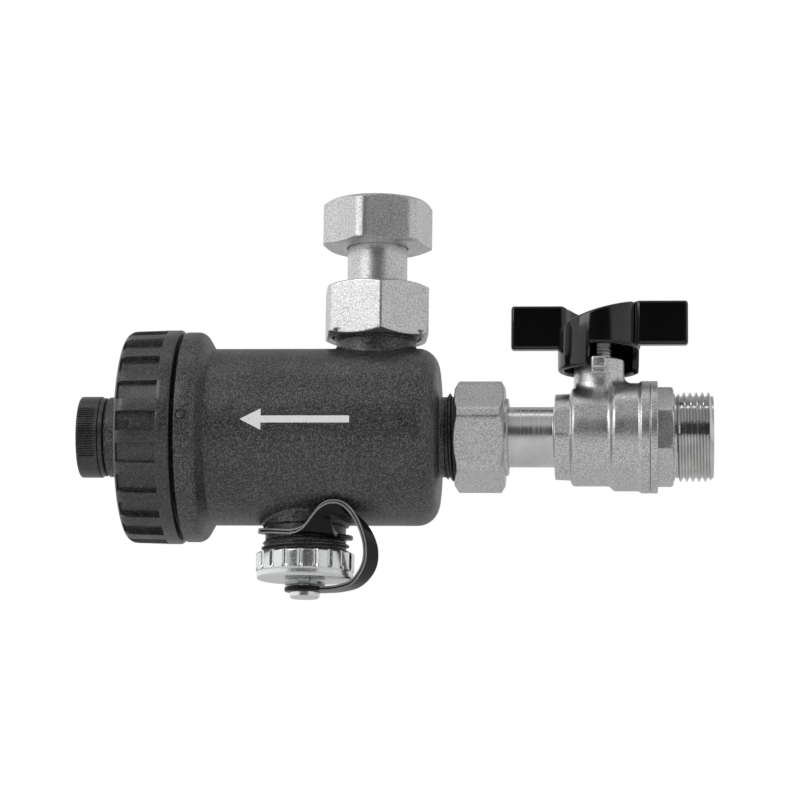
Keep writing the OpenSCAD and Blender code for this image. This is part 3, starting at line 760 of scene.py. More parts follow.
def make_lock_ring():
    outer = RING_HI[2]
    start, end = station(RING_HI[0]), station(RING_LO[0])
    outline = rounded([
        [RING_BORE_R, start, 0.3], [outer, start, 0.7], [outer, GRIP_START, 0],
        [outer - RING_TAPER, end, 2.9], [13.0, end, 0.5], [13.0, end - 3.0, 0],
        [RING_BORE_R, end - 3.0, 0], [RING_BORE_R, start + 0.3, 0],
    ], 8)
    rows = refined(outline, 1.2)
    # Close rows where the recesses start, in place of the even ones
    crowd_end = GRIP_START + 0.5
    close_at = GRIP_START + np.array([0.02, 0.12, 0.2, 0.26, 0.4])
    wall_rows = np.array([[outer - RING_TAPER * (s - GRIP_START) / 12.8, s] for s in close_at])
    replaced = (rows[:, 0] > outer - 0.5) & (rows[:, 1] > GRIP_START - 0.05) & (rows[:, 1] < crowd_end)
    kept = rows[~replaced]
    place_at = np.argmax((kept[:, 1] >= crowd_end) & (kept[:, 0] > outer - 1))
    rows = np.vstack([kept[:place_at], wall_rows, kept[place_at:]])
    pitch = 360 / GRIP_COUNT
    offsets = [-pitch / 2, -7, -5.6, -5.2, -5.07, -4.93, -4.8, -4.3, -2.2, 0,
               2.2, 4.3, 4.8, 4.93, 5.07, 5.2, 5.6, 7]
    angles = np.radians([k * pitch + o for k in range(GRIP_COUNT) for o in offsets])
    ring_of_rows = rows[:, 0] > 20

    def grips(theta, r, s):
        from_centre = np.abs((np.degrees(theta) + pitch / 2) % pitch - pitch / 2)
        inside = 1 - smooth_step(GRIP_HALF - 0.12, GRIP_HALF + 0.12, from_centre)
        opens = smooth_step(GRIP_START + 0.1, GRIP_START + 0.3, s)
        along_it = opens * (1 - smooth_step(end - 1.0, end - 0.8, s))
        floor = outer - GRIP_DEPTH - RING_TAPER * (s - GRIP_START - 0.2) / 11.7
        lowered = np.minimum(r, floor)
        cut = inside * along_it * ring_of_rows[:, None] * (r > RING_BORE_R + 0.2)
        return r + (lowered - r) * cut, s

    ring = build("screw_ring", [revolve(LEVEL, rows, angles, grips, closed=True)], 28)
    standing_for(ring, "lock_ring", MATERIALS["ring_nylon"])


def make_knob():
    outer = KNOB_HI[2]
    end = station(KNOB_LO[0])
    outline = refined(rounded([
        [0, 176.0, 0], [8.9, 176.0, 0], [8.9, 181.1, 0], [11.4, 181.1, 0.2],
        [11.8, 181.5, 0.2], [11.8, 182.7, 0.1], [outer, 182.9, 0.15], [outer, end, 1.5],
        [11.0, end, 0], [0, end - 0.25, 0],
    ], 7), 1.0)
    # Ridges to a full turn, their depth, and half the angle of each of the two ridged panels
    ridges, ridge_depth, panel = 102, 0.45, 38.0

    def grip(theta, r, s):
        from_panel = np.abs((np.degrees(theta) + 90) % 180 - 90)
        wave = 0.5 + 0.5 * np.cos(theta * ridges)
        groove = np.clip(1.5 * wave - 0.35, 0, 1)
        band = smooth_step(183.0, 183.4, s) * (1 - smooth_step(panel - 0.8, panel + 0.8, from_panel))
        outside = r > outer - 1.6
        return r - ridge_depth * groove * band * outside, s

    knob = build("ridged_knob", [revolve(LEVEL, outline, ridges * 10, grip)], 40)
    standing_for(knob, "magnet_knob")


# ---------------- union nuts

FLAT_R = 15.0
TAIL_R = 9.0
NUT_CLEAR_R = PIPE_CREST + 0.3
# Sealing-wire holes: their corners' angles, radius, half length, and place out from the axis and up
WIRE_CORNERS = (-141, -21)
WIRE_R, WIRE_HALF = 0.62, 7
WIRE_OUT, WIRE_UP = 16.0, 1.3


def nut_angles(corner):
    """Column angles that crowd at the hexagon's corners, from one corner's angle in degrees."""
    offsets = [0, 0.5, 1.2, 2.2, 3.6, 5.5, 8, 11, 14.5, 18, 22, 26, 30]
    mirrored = offsets + [60 - o for o in offsets[-2:0:-1]]
    return np.radians([corner + 60 * k + o for k in range(6) for o in mirrored])


def hexagon(theta, corner):
    from_flat = (np.degrees(theta) - corner - 30 + 30) % 60 - 30
    return FLAT_R / np.cos(np.radians(from_flat))


def nut_outline(low, high, tip, low_drop, high_drop, inner):
    """A nut's outside with both ends chamfered, then its inside from the high end to the low one."""
    heights = np.concatenate([
        low + low_drop * np.linspace(0, 1, 9), [low + low_drop + 0.3, low + low_drop + 1.2],
        np.linspace(low + low_drop + 2.4, high - high_drop - 2.4, 4),
        [high - high_drop - 1.2, high - high_drop - 0.3], high - high_drop * np.linspace(1, 0, 9),
    ])
    edge = FLAT_R - 0.2
    rise = np.minimum((heights - low) / low_drop, (high - heights) / high_drop)
    radii = edge + (tip - edge) * np.clip(rise, 0, 1)
    outside = np.column_stack([radii, heights])
    return np.vstack([outside, inner])


def make_nut(name, node, axis, low, high, tip, corner, drops, inner, head_down=False, extra=()):
    """Union nut, whose low end is its shoulder, unless head_down puts the shoulder at the high end."""
    outline = nut_outline(low, high, tip, drops[0], drops[1], np.array(inner, float))

    def hexed(theta, r, s):
        outside = r > FLAT_R - 0.3
        cut = soft_min(r, hexagon(theta, corner), 0.22)
        return np.where(outside, cut, r), low + high - s if head_down else s

    parts = [revolve(axis, outline, nut_angles(corner), hexed, closed=True)] + list(extra)
    nut = build(name, parts, 40)
    standing_for(nut, node)
    return nut


def tight_inside(low, high, shoulder):
    return [[NUT_CLEAR_R + 0.8, high], [NUT_CLEAR_R, high - 0.8], [NUT_CLEAR_R, low + shoulder],
            [TAIL_R + 0.3, low + shoulder], [TAIL_R + 0.3, low]]


def wire_hole(corner, middle_z):
    """Tool that drills across one corner of the port nut."""
    turn = math.radians(corner)
    outward = np.array([math.cos(turn), math.sin(turn), 0])
    over = np.array([-math.sin(turn), math.cos(turn), 0])
    centre = np.array([PORT_X, 0, middle_z]) + outward * WIRE_OUT
    return build("wire_hole", [capped([
        circle(centre + over * d, outward, np.array([0, 0, 1]), WIRE_R, 24)
        for d in (-WIRE_HALF, WIRE_HALF)])])


def make_nuts():
    low, high = station(OUTLET_NUT_HI[0]) + 1.1, station(OUTLET_NUT_LO[0])
    collar = turned_ring(LEVEL, [
        [TAIL_R + 0.3, low - 1.1, 0], [11.5, low - 1.1, 0.35], [11.5, low + 0.4, 0],
        [TAIL_R + 0.3, low + 0.4, 0]])
    make_nut("outlet_nut", "outlet_union_nut", LEVEL, low, high, 16.65, 17.3, (1.1, 1.1),
             tight_inside(low, high, 2.5), extra=[collar])
    low, high = PORT_NUT_LO[2], PORT_NUT_HI[2]
    port = make_nut("port_nut", "port_union_nut", PORT_AXIS, low, high, 17.1, 9, (1.1, 1.1),
                    tight_inside(low, high, 2.2), head_down=True)
    combine(port, [wire_hole(corner, low + WIRE_UP) for corner in WIRE_CORNERS], "DIFFERENCE")
    shade(port, 40)
    low, high = BOILER_NUT_LO[2], BOILER_NUT_HI[2]
    liner_r, shoulder = PIPE_CREST + 0.25, low + 2.6
    liner = thread(PORT_AXIS, low + 5.4, high - 0.05, PIPE_CREST + 0.05, PIPE_ROOT, NUT_CLEAR_R,
                   [PIPE_CREST + 0.1, 1.0], [PIPE_CREST + 0.1, 1.6])
    inside = [[NUT_CLEAR_R + 0.3, high], [liner_r, high - 0.4], [liner_r, shoulder],
              [TAIL_R + 0.3, shoulder], [TAIL_R + 0.3, low]]
    make_nut("boiler_nut", "boiler_union_nut", PORT_AXIS, low, high, 16.6, -14.5, (0.6, 1.1),
             inside, extra=[liner])


# ---------------- ball valve

# Turn of the collar's flat in degrees, its distance from the axis, and the stations it lies between
COLLAR_TURN, COLLAR_FLAT_R = 14.0, 12.15
COLLAR_FROM, COLLAR_TO = 42.25, 46.9
STEM_TOWER_TOP = 23.0
OUTLET_BORE_R = 7.6


def make_valve_body():
    step_end = station(VALVE_HI[0])
    outside = refined(rounded([
        [0, step_end, 0], [16.7, step_end, 0.3], [16.7, 21.2, 0.5], [16.1, 22.1, 0.6],
        [16.1, 29.4, 1.6], [14.65, 30.7, 1.6], [14.65, 41.7, 1.4], [12.9, 42.3, 0.5],
        [12.7, 46.8, 0.35], [0, 46.8, 0],
    ], 7), 2.0)

    def faceted(theta, r, s):
        tilt = np.radians((np.degrees(theta) - COLLAR_TURN + 180) % 360 - 180)
        flat = COLLAR_FLAT_R / np.maximum(np.cos(tilt), 0.2)
        on_collar = (s > COLLAR_FROM) & (s < COLLAR_TO) & (r > 12.0)
        return np.where(on_collar, np.minimum(r, flat), r), s

    angles = np.sort(np.concatenate([
        even_angles(168), np.radians([2.2, 2.6, 25.4, 25.8])]))
    forging = build("valve_forging", [revolve(LEVEL, outside, angles, faceted)])
    tower = build("stem_tower", [port_stub(STEM_X, 7.5, STEM_TOWER_TOP, 8, 2.4, barrel_radius)])
    post = rounded_box("stop_post_form", 2.25, [-12.8, 18.7], [-5, 22.4], 0.75)
    ledge = rounded_box("stop_ledge", 2.1, [-11.5, 17.3], [-5, 19.6], 0.5)
    combine(forging, [tower, post, ledge], "UNION")
    waterway = build("waterway", [rod(LEVEL, [[13.0, 17.0, 24.6], [11.0, 24.6, 43.0], [7.0, 43.0, 68.5]])])
    stem_way = build("stem_way", [rod(STEM_AXIS, [[5.6, 5.0, 13.0], [4.08, 13.0, 24.5]], 72)])
    combine(forging, [waterway, stem_way], "DIFFERENCE")
    raised = build("raised_arrow", flow_arrow(LEVEL, 38.9, 32.1, 1.6, 0.42, 1.5, barrel_radius, 0.32))
    rating = build("raised_bars", [
        wrapped_patch(LEVEL, [[38.6, a], [32.4, a], [32.4, a + 0.8], [38.6, a + 0.8]], barrel_radius, 0.3)
        for a in (-2.6, -4.2)])
    tail = build("valve_tail", [turned_ring(LEVEL, [
        [7.0, 45.8, 0], [TAIL_R + 0.4, 45.8, 0], [TAIL_R + 0.4, 46.9, 0.3], [TAIL_R, 47.3, 0.3],
        [TAIL_R, 64.3, 0], [11.9, 64.3, 0.2], [11.9, 67.3, 0.3], [7.0, 67.3, 0]], 120)])
    finish_piece(tail, TAIL_NICKEL, body_of("valve_body"))
    join([forging, raised, rating])
    shade(forging, 38)
    standing_for(forging, "valve_body")


def rounded_box(name, half, low, high, radius):
    """Box across the stem's place with every edge rounded, between two [y, z] corners."""
    verts = [(x, y, z) for x in (STEM_X - half, STEM_X + half)
             for y in (low[0], high[0]) for z in (low[1], high[1])]
    faces = [(0, 1, 3, 2), (4, 6, 7, 5), (0, 4, 5, 1), (2, 3, 7, 6), (0, 2, 6, 4), (1, 5, 7, 3)]
    return bevelled(build(name, [(verts, faces)]), radius, 4)


def make_valve_end():
    flange = turned_ring(LEVEL, [
        [OUTLET_BORE_R, 11.4, 0], [12.9, 11.4, 0], [12.9, 16.4, 0], [16.7, 16.4, 0.35],
        [16.7, 18.65, 0.25], [12.95, 18.65, 0], [12.95, 24.4, 0.3], [OUTLET_BORE_R, 24.4, 0.3]], 144, 4)
    low, high = 11.75, 16.6
    heights = np.concatenate([[low, low + 0.05, low + 0.15, low + 0.3], np.linspace(low + 0.6, high, 4)])
    octagon_r = 14.15
    radii = np.minimum(15.25, octagon_r - 0.05 + 2.2 * (heights - low))
    outline = np.vstack([np.column_stack([radii, heights]), [[10, high], [10, low]]])

    def eight_sided(theta, r, s):
        from_flat = (np.degrees(theta) + 22.5) % 45 - 22.5
        side = octagon_r / np.cos(np.radians(from_flat))
        return np.where(r > 13, soft_min(r, side, 0.15), r), s

    columns = np.radians([45 * k + o for k in range(8) for o in
                          (0, 4, 8, 12, 16, 19, 21, 22.2, 22.8, 24, 26, 29, 33, 37, 41)])
    octagon = revolve(LEVEL, outline, columns, eight_sided, closed=True)
    groove = turned_ring(LEVEL, [
        [OUTLET_BORE_R, 10.9, 0], [12.0, 10.9, 0], [12.0, 12.0, 0], [OUTLET_BORE_R, 12.0, 0]])
    spiral = thread(LEVEL, 0.0, 11.1, PIPE_ROOT, PIPE_CREST, OUTLET_BORE_R,
                    [PIPE_ROOT - 0.1, 1.25], [11.9, 0.9], 192)
    standing_for(build("outlet_thread", [groove, spiral], 38), "valve_end")
    grip = build("outlet_octagon", [flange, octagon], 38)
    finish_piece(grip, MATERIALS["nickel_brass"], body_of("valve_end"))


def make_stem():
    tip = STEM_HI[2]
    crest, root = 4.0, 3.5
    lower = revolve(STEM_AXIS, rounded([
        [0, 7.9, 0], [5.0, 7.9, 0.3], [5.3, 10, 0], [5.3, 12, 0.2], [crest, 12, 0], [crest, 15.4, 0],
        [3.2, 15.4, 0], [3.2, 17.4, 0], [crest, 17.4, 0], [crest, 23.3, 0.2], [0, 23.3, 0]], 3), 72)
    spiral = thread(STEM_AXIS, 23.2, tip, root, crest, 0.6, [3.4, 0.5], [2.9, 0.9], 96, 0.95)
    core = rod(STEM_AXIS, [[0.7, 23.0, tip]], 24)
    piece = build("stem_form", [lower, spiral, core])
    standing_for(piece, "valve_stem", MATERIALS["bright_nickel"])


# ---------------- valve handle

SKIRT_R = 11.3
SKIRT_BOTTOM = 19.6
NOTCH_TOP = 26.4
WING_BOTTOM = 27.1
WING_FRONT = 4.0
WALL_LOW, WALL_HIGH = 30.3, 39.9
NOTCH_FROM, NOTCH_TO, NOTCH_SOFT = -15.0, 105.0, 0.8
# Angle where a wall starts, and the mark that stands for an angle once it runs straight as a wing
WALL_START, ON_WING = -98.0, 999


def handle_path():
    """Plan of one wall and its wing: [right of the stem, in front of it, angle round the stem]."""
    bend = 2.6
    meet_front = WING_FRONT + bend
    centre_right = math.sqrt((SKIRT_R + bend) ** 2 - meet_front ** 2)
    leave = math.degrees(math.atan2(centre_right, meet_front))
    points = []
    for a in np.linspace(WALL_START, leave, 90):
        points.append([SKIRT_R * math.sin(math.radians(a)), SKIRT_R * math.cos(math.radians(a)), a])
    back = math.atan2(-meet_front, -centre_right)
    for k in range(1, 13):
        a = back + (-math.pi / 2 - back) * k / 12
        points.append([centre_right + bend * math.cos(a), meet_front + bend * math.sin(a), leave + 3 * k])
    for x in np.linspace(centre_right + 0.8, HANDLE_HI[0] - STEM_X - 0.9, 12):
        points.append([x, WING_FRONT, ON_WING])
    return np.array(points), leave


def skirt_low(angle):
    """Height of the skirt's lower edge, which rises over the notch, at an angle round the stem."""
    opens = smooth_step(NOTCH_FROM - NOTCH_SOFT, NOTCH_FROM + NOTCH_SOFT, angle)
    closes = smooth_step(NOTCH_TO - NOTCH_SOFT, NOTCH_TO + NOTCH_SOFT, angle)
    return SKIRT_BOTTOM + (NOTCH_TOP - SKIRT_BOTTOM) * opens * (1 - closes)


def wall_top(angle):
    """Height of a wall's top edge at an angle round the stem."""
    t = np.clip((angle - WALL_START) / 154, 0, 1)
    return WALL_LOW + (WALL_HIGH - WALL_LOW) * (0.7 * t + 0.3 * math.sin(t * math.pi / 2))


def section(low, high, half, foot):
    """Rounded upright section, wider by foot at the bottom: [across, height] points going round."""
    radius, count = min(half, 0.9), 6
    top, bottom = half - radius, half + foot - radius
    out = []
    for cx, cz, a0 in ((bottom, low + radius, -90), (top, high - radius, 0),
                       (-top, high - radius, 90), (-bottom, low + radius, 180)):
        for k in range(count + 1):
            a = math.radians(a0 + 90 * k / count)
            out.append([cx + radius * math.cos(a), cz + radius * math.sin(a)])
    return out


def handle_wall(turned):
    """One wall with its wing; turned builds the other, half a turn round."""
    path, leave = handle_path()
    rings = []
    for i, (right, front, angle) in enumerate(path):
        before, after = path[max(i - 1, 0)], path[min(i + 1, len(path) - 1)]
        ahead = np.array([after[0] - before[0], after[1] - before[1]])
        ahead /= np.linalg.norm(ahead)
        outward = np.array([-ahead[1], ahead[0]])
        spread = 1.0 if angle == ON_WING else smooth_step(leave, leave + 30, angle)
        wall_low = skirt_low(angle + (180 if turned else 0))
        low = wall_low + (WING_BOTTOM - wall_low) * spread
        high = wall_top(angle) + (HANDLE_HI[2] - WALL_HIGH) * spread
        rings.append([[right + outward[0] * u, front + outward[1] * u, z]
                      for u, z in section(low, high, 1.0 + 0.75 * spread, 0.35 * spread)])
    last = np.array(rings[-1])
    centre = last.mean(axis=0)
    from_centre = last - centre
    # The wing's rounded tip: rings that narrow as they move out
    for shrink, move in ((0.97, 0.25), (0.9, 0.5), (0.75, 0.72), (0.5, 0.86)):
        slim = last.copy()
        slim[:, 0] += move
        slim[:, 1] = centre[1] + from_centre[:, 1] * shrink
        slim[:, 2] = centre[2] + np.sign(from_centre[:, 2]) * (
            np.abs(from_centre[:, 2]) - (1 - shrink) * 1.6)
        rings.append(slim.tolist())
    flip = -1 if turned else 1
    return capped(np.array(rings) * [flip, -flip, 1] + [STEM_X, 0, 0])


def make_handle():
    outer, inner = SKIRT_R + 0.92, SKIRT_R - 0.92

    def notched(theta, r, s):
        low = skirt_low((np.degrees(theta) + 180) % 360 - 180)
        return r, np.where(s < 25, s + low - SKIRT_BOTTOM, s)

    crowd = NOTCH_SOFT * np.array([-1, -0.5, 0.5, 1])
    columns = np.radians(np.sort(np.concatenate([
        np.arange(-180, 180, 3.0), NOTCH_FROM + crowd, NOTCH_TO + crowd])))
    skirt = revolve(STEM_AXIS, rounded([
        [inner, 28.5, 0], [inner, SKIRT_BOTTOM, 0.8], [outer, SKIRT_BOTTOM, 0.8], [outer, 31.0, 0.8],
        [inner, 31.0, 0.8], [inner, 28.6, 0]], 5), columns, notched, closed=True)
    web = turned_ring(STEM_AXIS, [
        [4.05, NOTCH_TOP, 0.2], [inner + 0.4, NOTCH_TOP, 0], [inner + 0.4, 29.6, 0],
        [4.05, 29.6, 0.2]], steps=3)
    piece = build("butterfly_handle", [handle_wall(False), handle_wall(True), skirt, web], 40)
    standing_for(piece, "valve_handle")


# ---------------- drain cap and its strap

FLUTES = 20
FLUTE_HALF = 0.85
FLUTE_DEPTH = 0.6


def make_drain_cap():
    outer = CAP_HI[0] - DRAIN_X
    low, top = CAP_LO[2], CAP_HI[2]
    outline = refined(rounded([
        [0, low, 0], [outer - 0.35, low, 0.7], [outer - 0.25, low + 2.2, 0.2],
        [outer, low + 2.5, 0.15], [outer, top, 0.6], [NUT_CLEAR_R, top, 0.3],
        [NUT_CLEAR_R, low + 1.4, 0], [0, low + 1.4, 0],
    ], 5), 0.6)

    def fluted(theta, r, s):
        step = 360 / FLUTES
        from_flute = np.radians(np.abs((np.degrees(theta) + step / 2) % step - step / 2))
        across = np.minimum(outer * from_flute / FLUTE_HALF, 1)
        depth = FLUTE_DEPTH * (1 - across ** 2)
        along_it = smooth_step(low + 2.3, low + 3.0, s)
        outside = r > NUT_CLEAR_R + 0.5
        cut = np.where(outside, np.minimum(r, outer - depth), r)
        return r + (cut - r) * along_it, s

    cap = build("fluted_cap", [revolve(DRAIN_AXIS, outline, 720, fluted)], 40)
    pin_way = build("pin_way", [rod(DRAIN_AXIS, [[2.28, low - 1, low + 3]], 48)])
    combine(cap, [pin_way], "DIFFERENCE")
    shade(cap, 40)
    standing_for(cap, "drain_cap")


# Chosen routes of the strap's near and far edges, the same as in the part's source, from its ring on
# the spout to the pin's eye: right of the drain port's axis, in front of it, and height
STRAP_NEAR = [
    [-3.2, 13.7, -30.1], [-1.2, 15.0, -29.9], [0.9, 16.0, -28.9], [2.5, 16.6, -27.2],
    [4.0, 17.0, -25.2], [5.6, 17.4, -23.4], [7.6, 17.8, -22.1], [9.8, 18.0, -21.7],
    [12.1, 17.7, -22.1], [14.3, 16.8, -23.7], [16.2, 15.4, -26.4], [17.7, 13.4, -29.8],
    [18.6, 11.0, -33.9], [18.3, 8.5, -37.9], [16.8, 6.5, -41.2], [14.2, 5.0, -44.1],
    [10.2, 4.0, -45.4], [6.4, 3.6, -45.8], [3.2, 3.7, -45.8],
]
STRAP_FAR = [
    [10.4, 9.9, -30.7], [9.8, 12.8, -30.2], [9.4, 14.6, -28.8], [9.0, 15.2, -27.0],
    [9.2, 15.0, -25.6], [10.0, 14.2, -24.9], [11.4, 13.0, -24.9], [13.0, 12.4, -25.1],
    [15.2, 11.9, -25.4], [17.4, 11.0, -26.6], [19.3, 9.6, -28.5], [21.0, 7.6, -31.3],
    [21.9, 5.2, -34.8], [21.4, 2.5, -38.6], [19.4, 0.2, -41.8], [15.9, -1.8, -44.4],
    [11.2, -3.0, -45.5], [6.6, -3.5, -45.8], [3.2, -3.7, -45.8],
]
STRAP_THICK = 1.5
STRAP_RING_R, STRAP_RING_Z = 14.2, -29.4
STRAP_RING_IN = 12.4
# Lean of that ring: down towards the front, and down towards the right
STRAP_TILT = [4.5, 4]
# Light-grey beads along the strap's edges paint the highlights on those edges: their radius, and how far
# they sit in from the edge and out from the middle of the thickness
HIGHLIGHT_BEAD_R, HIGHLIGHT_BEAD_IN, HIGHLIGHT_BEAD_OUT = 0.29, 0.16, 0.46
HIGHLIGHT_BEAD_COLUMNS = 8
# Steps along the strap that the painted highlight on its far edge follows
FAR_HIGHLIGHT_STEPS = 50


def smooth_curve(points):
    """Six points to each span of a curve through the given rows."""
    per_span = 6
    points = np.array(points, float)
    padded = np.vstack([2 * points[0] - points[1], points, 2 * points[-1] - points[-2]])
    out = []
    for i in range(1, len(padded) - 2):
        a, b, c, d = padded[i - 1:i + 3]
        for k in range(per_span):
            t = k / per_span
            out.append(0.5 * (2 * b + (c - a) * t + (2 * a - 5 * b + 4 * c - d) * t ** 2
                              + (3 * b - a - 3 * c + d) * t ** 3))
    out.append(points[-1])
    return np.array(out)


def strap_frames():
    """Middle, half width, direction across and outward direction at each step along the strap."""
    near, far = smooth_curve(STRAP_NEAR), smooth_curve(STRAP_FAR)
    near, far = [np.column_stack([DRAIN_X + e[:, 0], -e[:, 1], e[:, 2]]) for e in (near, far)]
    middle = (near + far) / 2
    frames = []
    for i, place_at in enumerate(middle):
        ahead = middle[min(i + 1, len(middle) - 1)] - middle[max(i - 1, 0)]
        across = far[i] - near[i]
        half = np.linalg.norm(across) / 2
        across /= 2 * half
        outward = np.cross(ahead, across)
        frames.append((place_at, half, across, outward / np.linalg.norm(outward)))
    return frames


def strap_highlight_bead(frames, edge, side):
    """Round light-grey tube that paints the highlight along the near (-1) or far (1) edge, on the outer (1)
    or inner (-1) side.
    """
    rings = []
    for place_at, half, across, outward in frames:
        centre = place_at + across * edge * (half - HIGHLIGHT_BEAD_IN) + outward * side * HIGHLIGHT_BEAD_OUT
        rings.append(circle(centre, across, outward, HIGHLIGHT_BEAD_R, HIGHLIGHT_BEAD_COLUMNS))
    return capped(rings)


def tilted(points):
    """Points of the flat ring round the spout, leaned over and moved to their place."""
    front_tilt, side_tilt = np.radians(STRAP_TILT)
    x, y, z = points.T
    y, z = (y * math.cos(front_tilt) - z * math.sin(front_tilt),
            y * math.sin(front_tilt) + z * math.cos(front_tilt))
    x, z = (x * math.cos(side_tilt) + z * math.sin(side_tilt),
            z * math.cos(side_tilt) - x * math.sin(side_tilt))
    return np.column_stack([DRAIN_X + x, y, STRAP_RING_Z + z])


def ring_highlight_bead(level):
    """Light-grey tube that paints the highlight round the free front of the strap's ring, at a height from
    the ring's middle.
    """
    out = HIGHLIGHT_BEAD_R * np.cos(even_angles(HIGHLIGHT_BEAD_COLUMNS))
    up = HIGHLIGHT_BEAD_R * np.sin(even_angles(HIGHLIGHT_BEAD_COLUMNS))
    return capped([tilted(Upright(0).place(STRAP_RING_R - HIGHLIGHT_BEAD_IN + out, theta, level + up))
                   for theta in np.radians(np.linspace(-110, -11, 36))])


def strap_ribbon():
    """The strap's loop, with a groove along its near edge between the light-grey beads that paint its
    highlights.
    """
    edge, deep, groove = 0.3, STRAP_THICK / 2, 0.4
    rings = []
    for place_at, half, across, outward in strap_frames():
        ring_points = [
            (half - edge, -deep), (half, -deep + edge), (half, deep - edge), (half - edge, deep),
            (edge - half, deep), (-half, deep - edge), (groove - half, 0), (-half, -deep + edge),
            (edge - half, -deep)]
        rings.append([place_at + across * u + outward * v for u, v in ring_points])
    return capped(rings)


def make_strap():
    deep = STRAP_THICK / 2
    plate, plate_faces = turned_ring(Upright(0), [
        [STRAP_RING_IN, -deep, 0.3], [STRAP_RING_R, -deep, 0.5], [STRAP_RING_R, deep, 0.5],
        [STRAP_RING_IN, deep, 0.3]], 160, 4)
    eye = turned_ring(DRAIN_AXIS, [
        [2.5, -46.6, 0.3], [6.1, -46.6, 0.5], [6.1, -45.05, 0.5], [2.5, -45.05, 0.3]], steps=4)
    strap = build("retaining_strap", [strap_ribbon()])
    ring = build("strap_ring", [(tilted(plate), plate_faces)])
    eye_piece = build("strap_eye", [eye])
    combine(strap, [ring, eye_piece], "UNION")
    eye_way = build("eye_way", [rod(DRAIN_AXIS, [[2.55, -48, -44]], 48)])
    spout_way = build("spout_way", [
        rod(DRAIN_AXIS, [[STRAP_RING_IN, -34, -27.7], [13.0, -27.3, -20]], 160)])
    combine(strap, [eye_way, spout_way], "DIFFERENCE")
    remesh = strap.modifiers.new("even", "REMESH")
    remesh.mode = "VOXEL"
    remesh.voxel_size = 0.2 * MM
    soften = strap.modifiers.new("soften", "SMOOTH")
    soften.factor = 0.5
    soften.iterations = 3
    apply_modifiers(strap)
    shade(strap, 60)
    # Light-grey beads along the strap's edges and round its ring's front paint the highlights on those
    # edges
    frames = strap_frames()
    highlight_beads = build("strap_highlight_bead", [
        strap_highlight_bead(frames, -1, 1), strap_highlight_bead(frames, -1, -1),
        strap_highlight_bead(frames[:FAR_HIGHLIGHT_STEPS], 1, 1), ring_highlight_bead(HIGHLIGHT_BEAD_OUT), ring_highlight_bead(-HIGHLIGHT_BEAD_OUT)], 60)
    for obj, material in ((strap, MATERIALS["strap_plastic"]), (highlight_beads, STRAP_PAINTED_HIGHLIGHT)):
        obj.data.materials.clear()
        obj.data.materials.append(material)
        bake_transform(obj)
    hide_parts("cap_strap")


# ---------------- camera, light and floor

def make_camera():
    data = bpy.data.cameras.new("camera")
    data.sensor_width = 36
    data.lens = 135.2
    data.clip_start, data.clip_end = 0.01, 20
    cam = add_object("camera", data)
    azimuth, elevation, roll = np.radians([4.5, -9.7, -0.7])
    target, distance = Vector((-92.3, 0, 11.3)) * MM, 0.9
    back = Vector((
        math.sin(azimuth) * math.cos(elevation),
        -math.cos(azimuth) * math.cos(elevation),
        math.sin(elevation),
    ))
    cam.location = target + back * distance
    cam.rotation_mode = "QUATERNION"
    cam.rotation_quaternion = (-back).to_track_quat("-Z", "Y") @ Quaternion((0, 0, 1), -roll)
    bpy.context.scene.camera = cam


def softbox(name, place_at, aim_at, size, power):
    data = bpy.data.lights.new(name, "AREA")
    data.shape = "RECTANGLE"
    data.size, data.size_y = size
    data.energy = power
    lamp = add_object(name, data)
    lamp.location = place_at
    aim = Vector(aim_at) - Vector(place_at)
    lamp.rotation_mode = "QUATERNION"
    lamp.rotation_quaternion = aim.to_track_quat("-Z", "Y")


STUDIO_STRENGTH = 1.25
FLOOR_Z, FLOOR_HALF = -0.165, 6


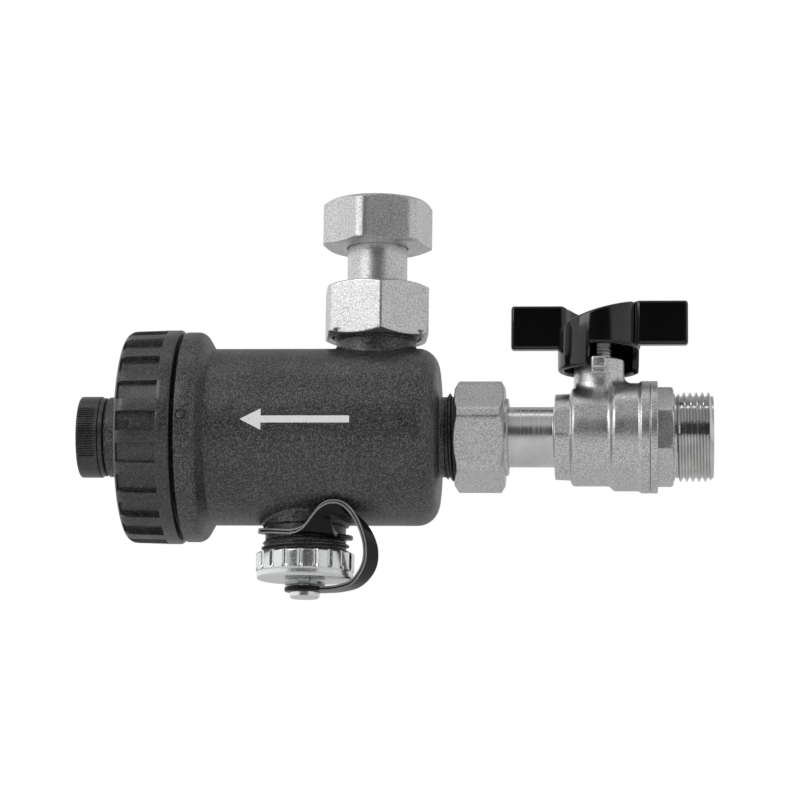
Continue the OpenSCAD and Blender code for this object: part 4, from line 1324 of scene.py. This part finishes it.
def make_surroundings():
    """Studio light, brightest on the left, with a dark room in front and a plain white backdrop."""
    world = bpy.data.worlds.new("studio")
    bpy.context.scene.world = world
    world.use_nodes = True
    tree = world.node_tree
    sides = tree.nodes.new("ShaderNodeSeparateXYZ")
    coords = tree.nodes.new("ShaderNodeTexCoord")
    tree.links.new(coords.outputs["Generated"], sides.inputs[0])
    right, back, up = sides.outputs
    from_left = ramp(tree, math_node(tree, "MULTIPLY_ADD", right, 0.5, 0.5), [
        (0.0, 0.82), (0.3, 0.7), (0.5, 0.42), (0.8, 0.62), (1.0, 0.6)])
    height = ramp(tree, math_node(tree, "MULTIPLY_ADD", up, 0.5, 0.5), [
        (0.0, 0.75), (0.3, 0.9), (0.55, 1.0), (0.75, 0.8), (1.0, 0.6)])
    front = ramp(tree, math_node(tree, "MULTIPLY", back, -1.0), [(0.78, 1.0), (0.87, 0.10)])
    lit = math_node(tree, "MULTIPLY", math_node(tree, "MULTIPLY", from_left, height), front)
    lit = math_node(tree, "MULTIPLY", lit, STUDIO_STRENGTH)
    seen = tree.nodes.new("ShaderNodeLightPath").outputs["Is Camera Ray"]
    unseen = math_node(tree, "SUBTRACT", 1.0, seen)
    strength = math_node(tree, "ADD", math_node(tree, "MULTIPLY", lit, unseen), seen)
    tree.links.new(strength, tree.nodes["Background"].inputs["Strength"])
    tree.nodes["Background"].inputs["Color"].default_value = (1, 1, 1, 1)


def make_studio():
    make_surroundings()
    middle = (-0.09, 0, 0.01)
    softbox("key", (-0.7, -0.7, 0.6), middle, (0.6, 0.6), 2.6)
    softbox("top_strip", (-0.09, -0.05, 0.9), middle, (0.8, 0.1), 0.4)
    mesh = bpy.data.meshes.new("floor")
    mesh.from_pydata(
        [(x * FLOOR_HALF, y * FLOOR_HALF, FLOOR_Z) for x, y in ((-1, -1), (1, -1), (1, 1), (-1, 1))],
        [], [(0, 1, 2, 3)])
    mesh.materials.append(Look("floor_paper", (0.9, 0.9, 0.9), 0.8).material)
    floor = add_object("floor", mesh)
    bpy.context.scene.view_settings.view_transform = "Standard"


make_camera()
make_studio()
dress_cad_nodes()
make_casing()
make_lock_ring()
make_knob()
make_nuts()
make_valve_body()
make_valve_end()
make_stem()
make_handle()
make_drain_cap()
make_strap()
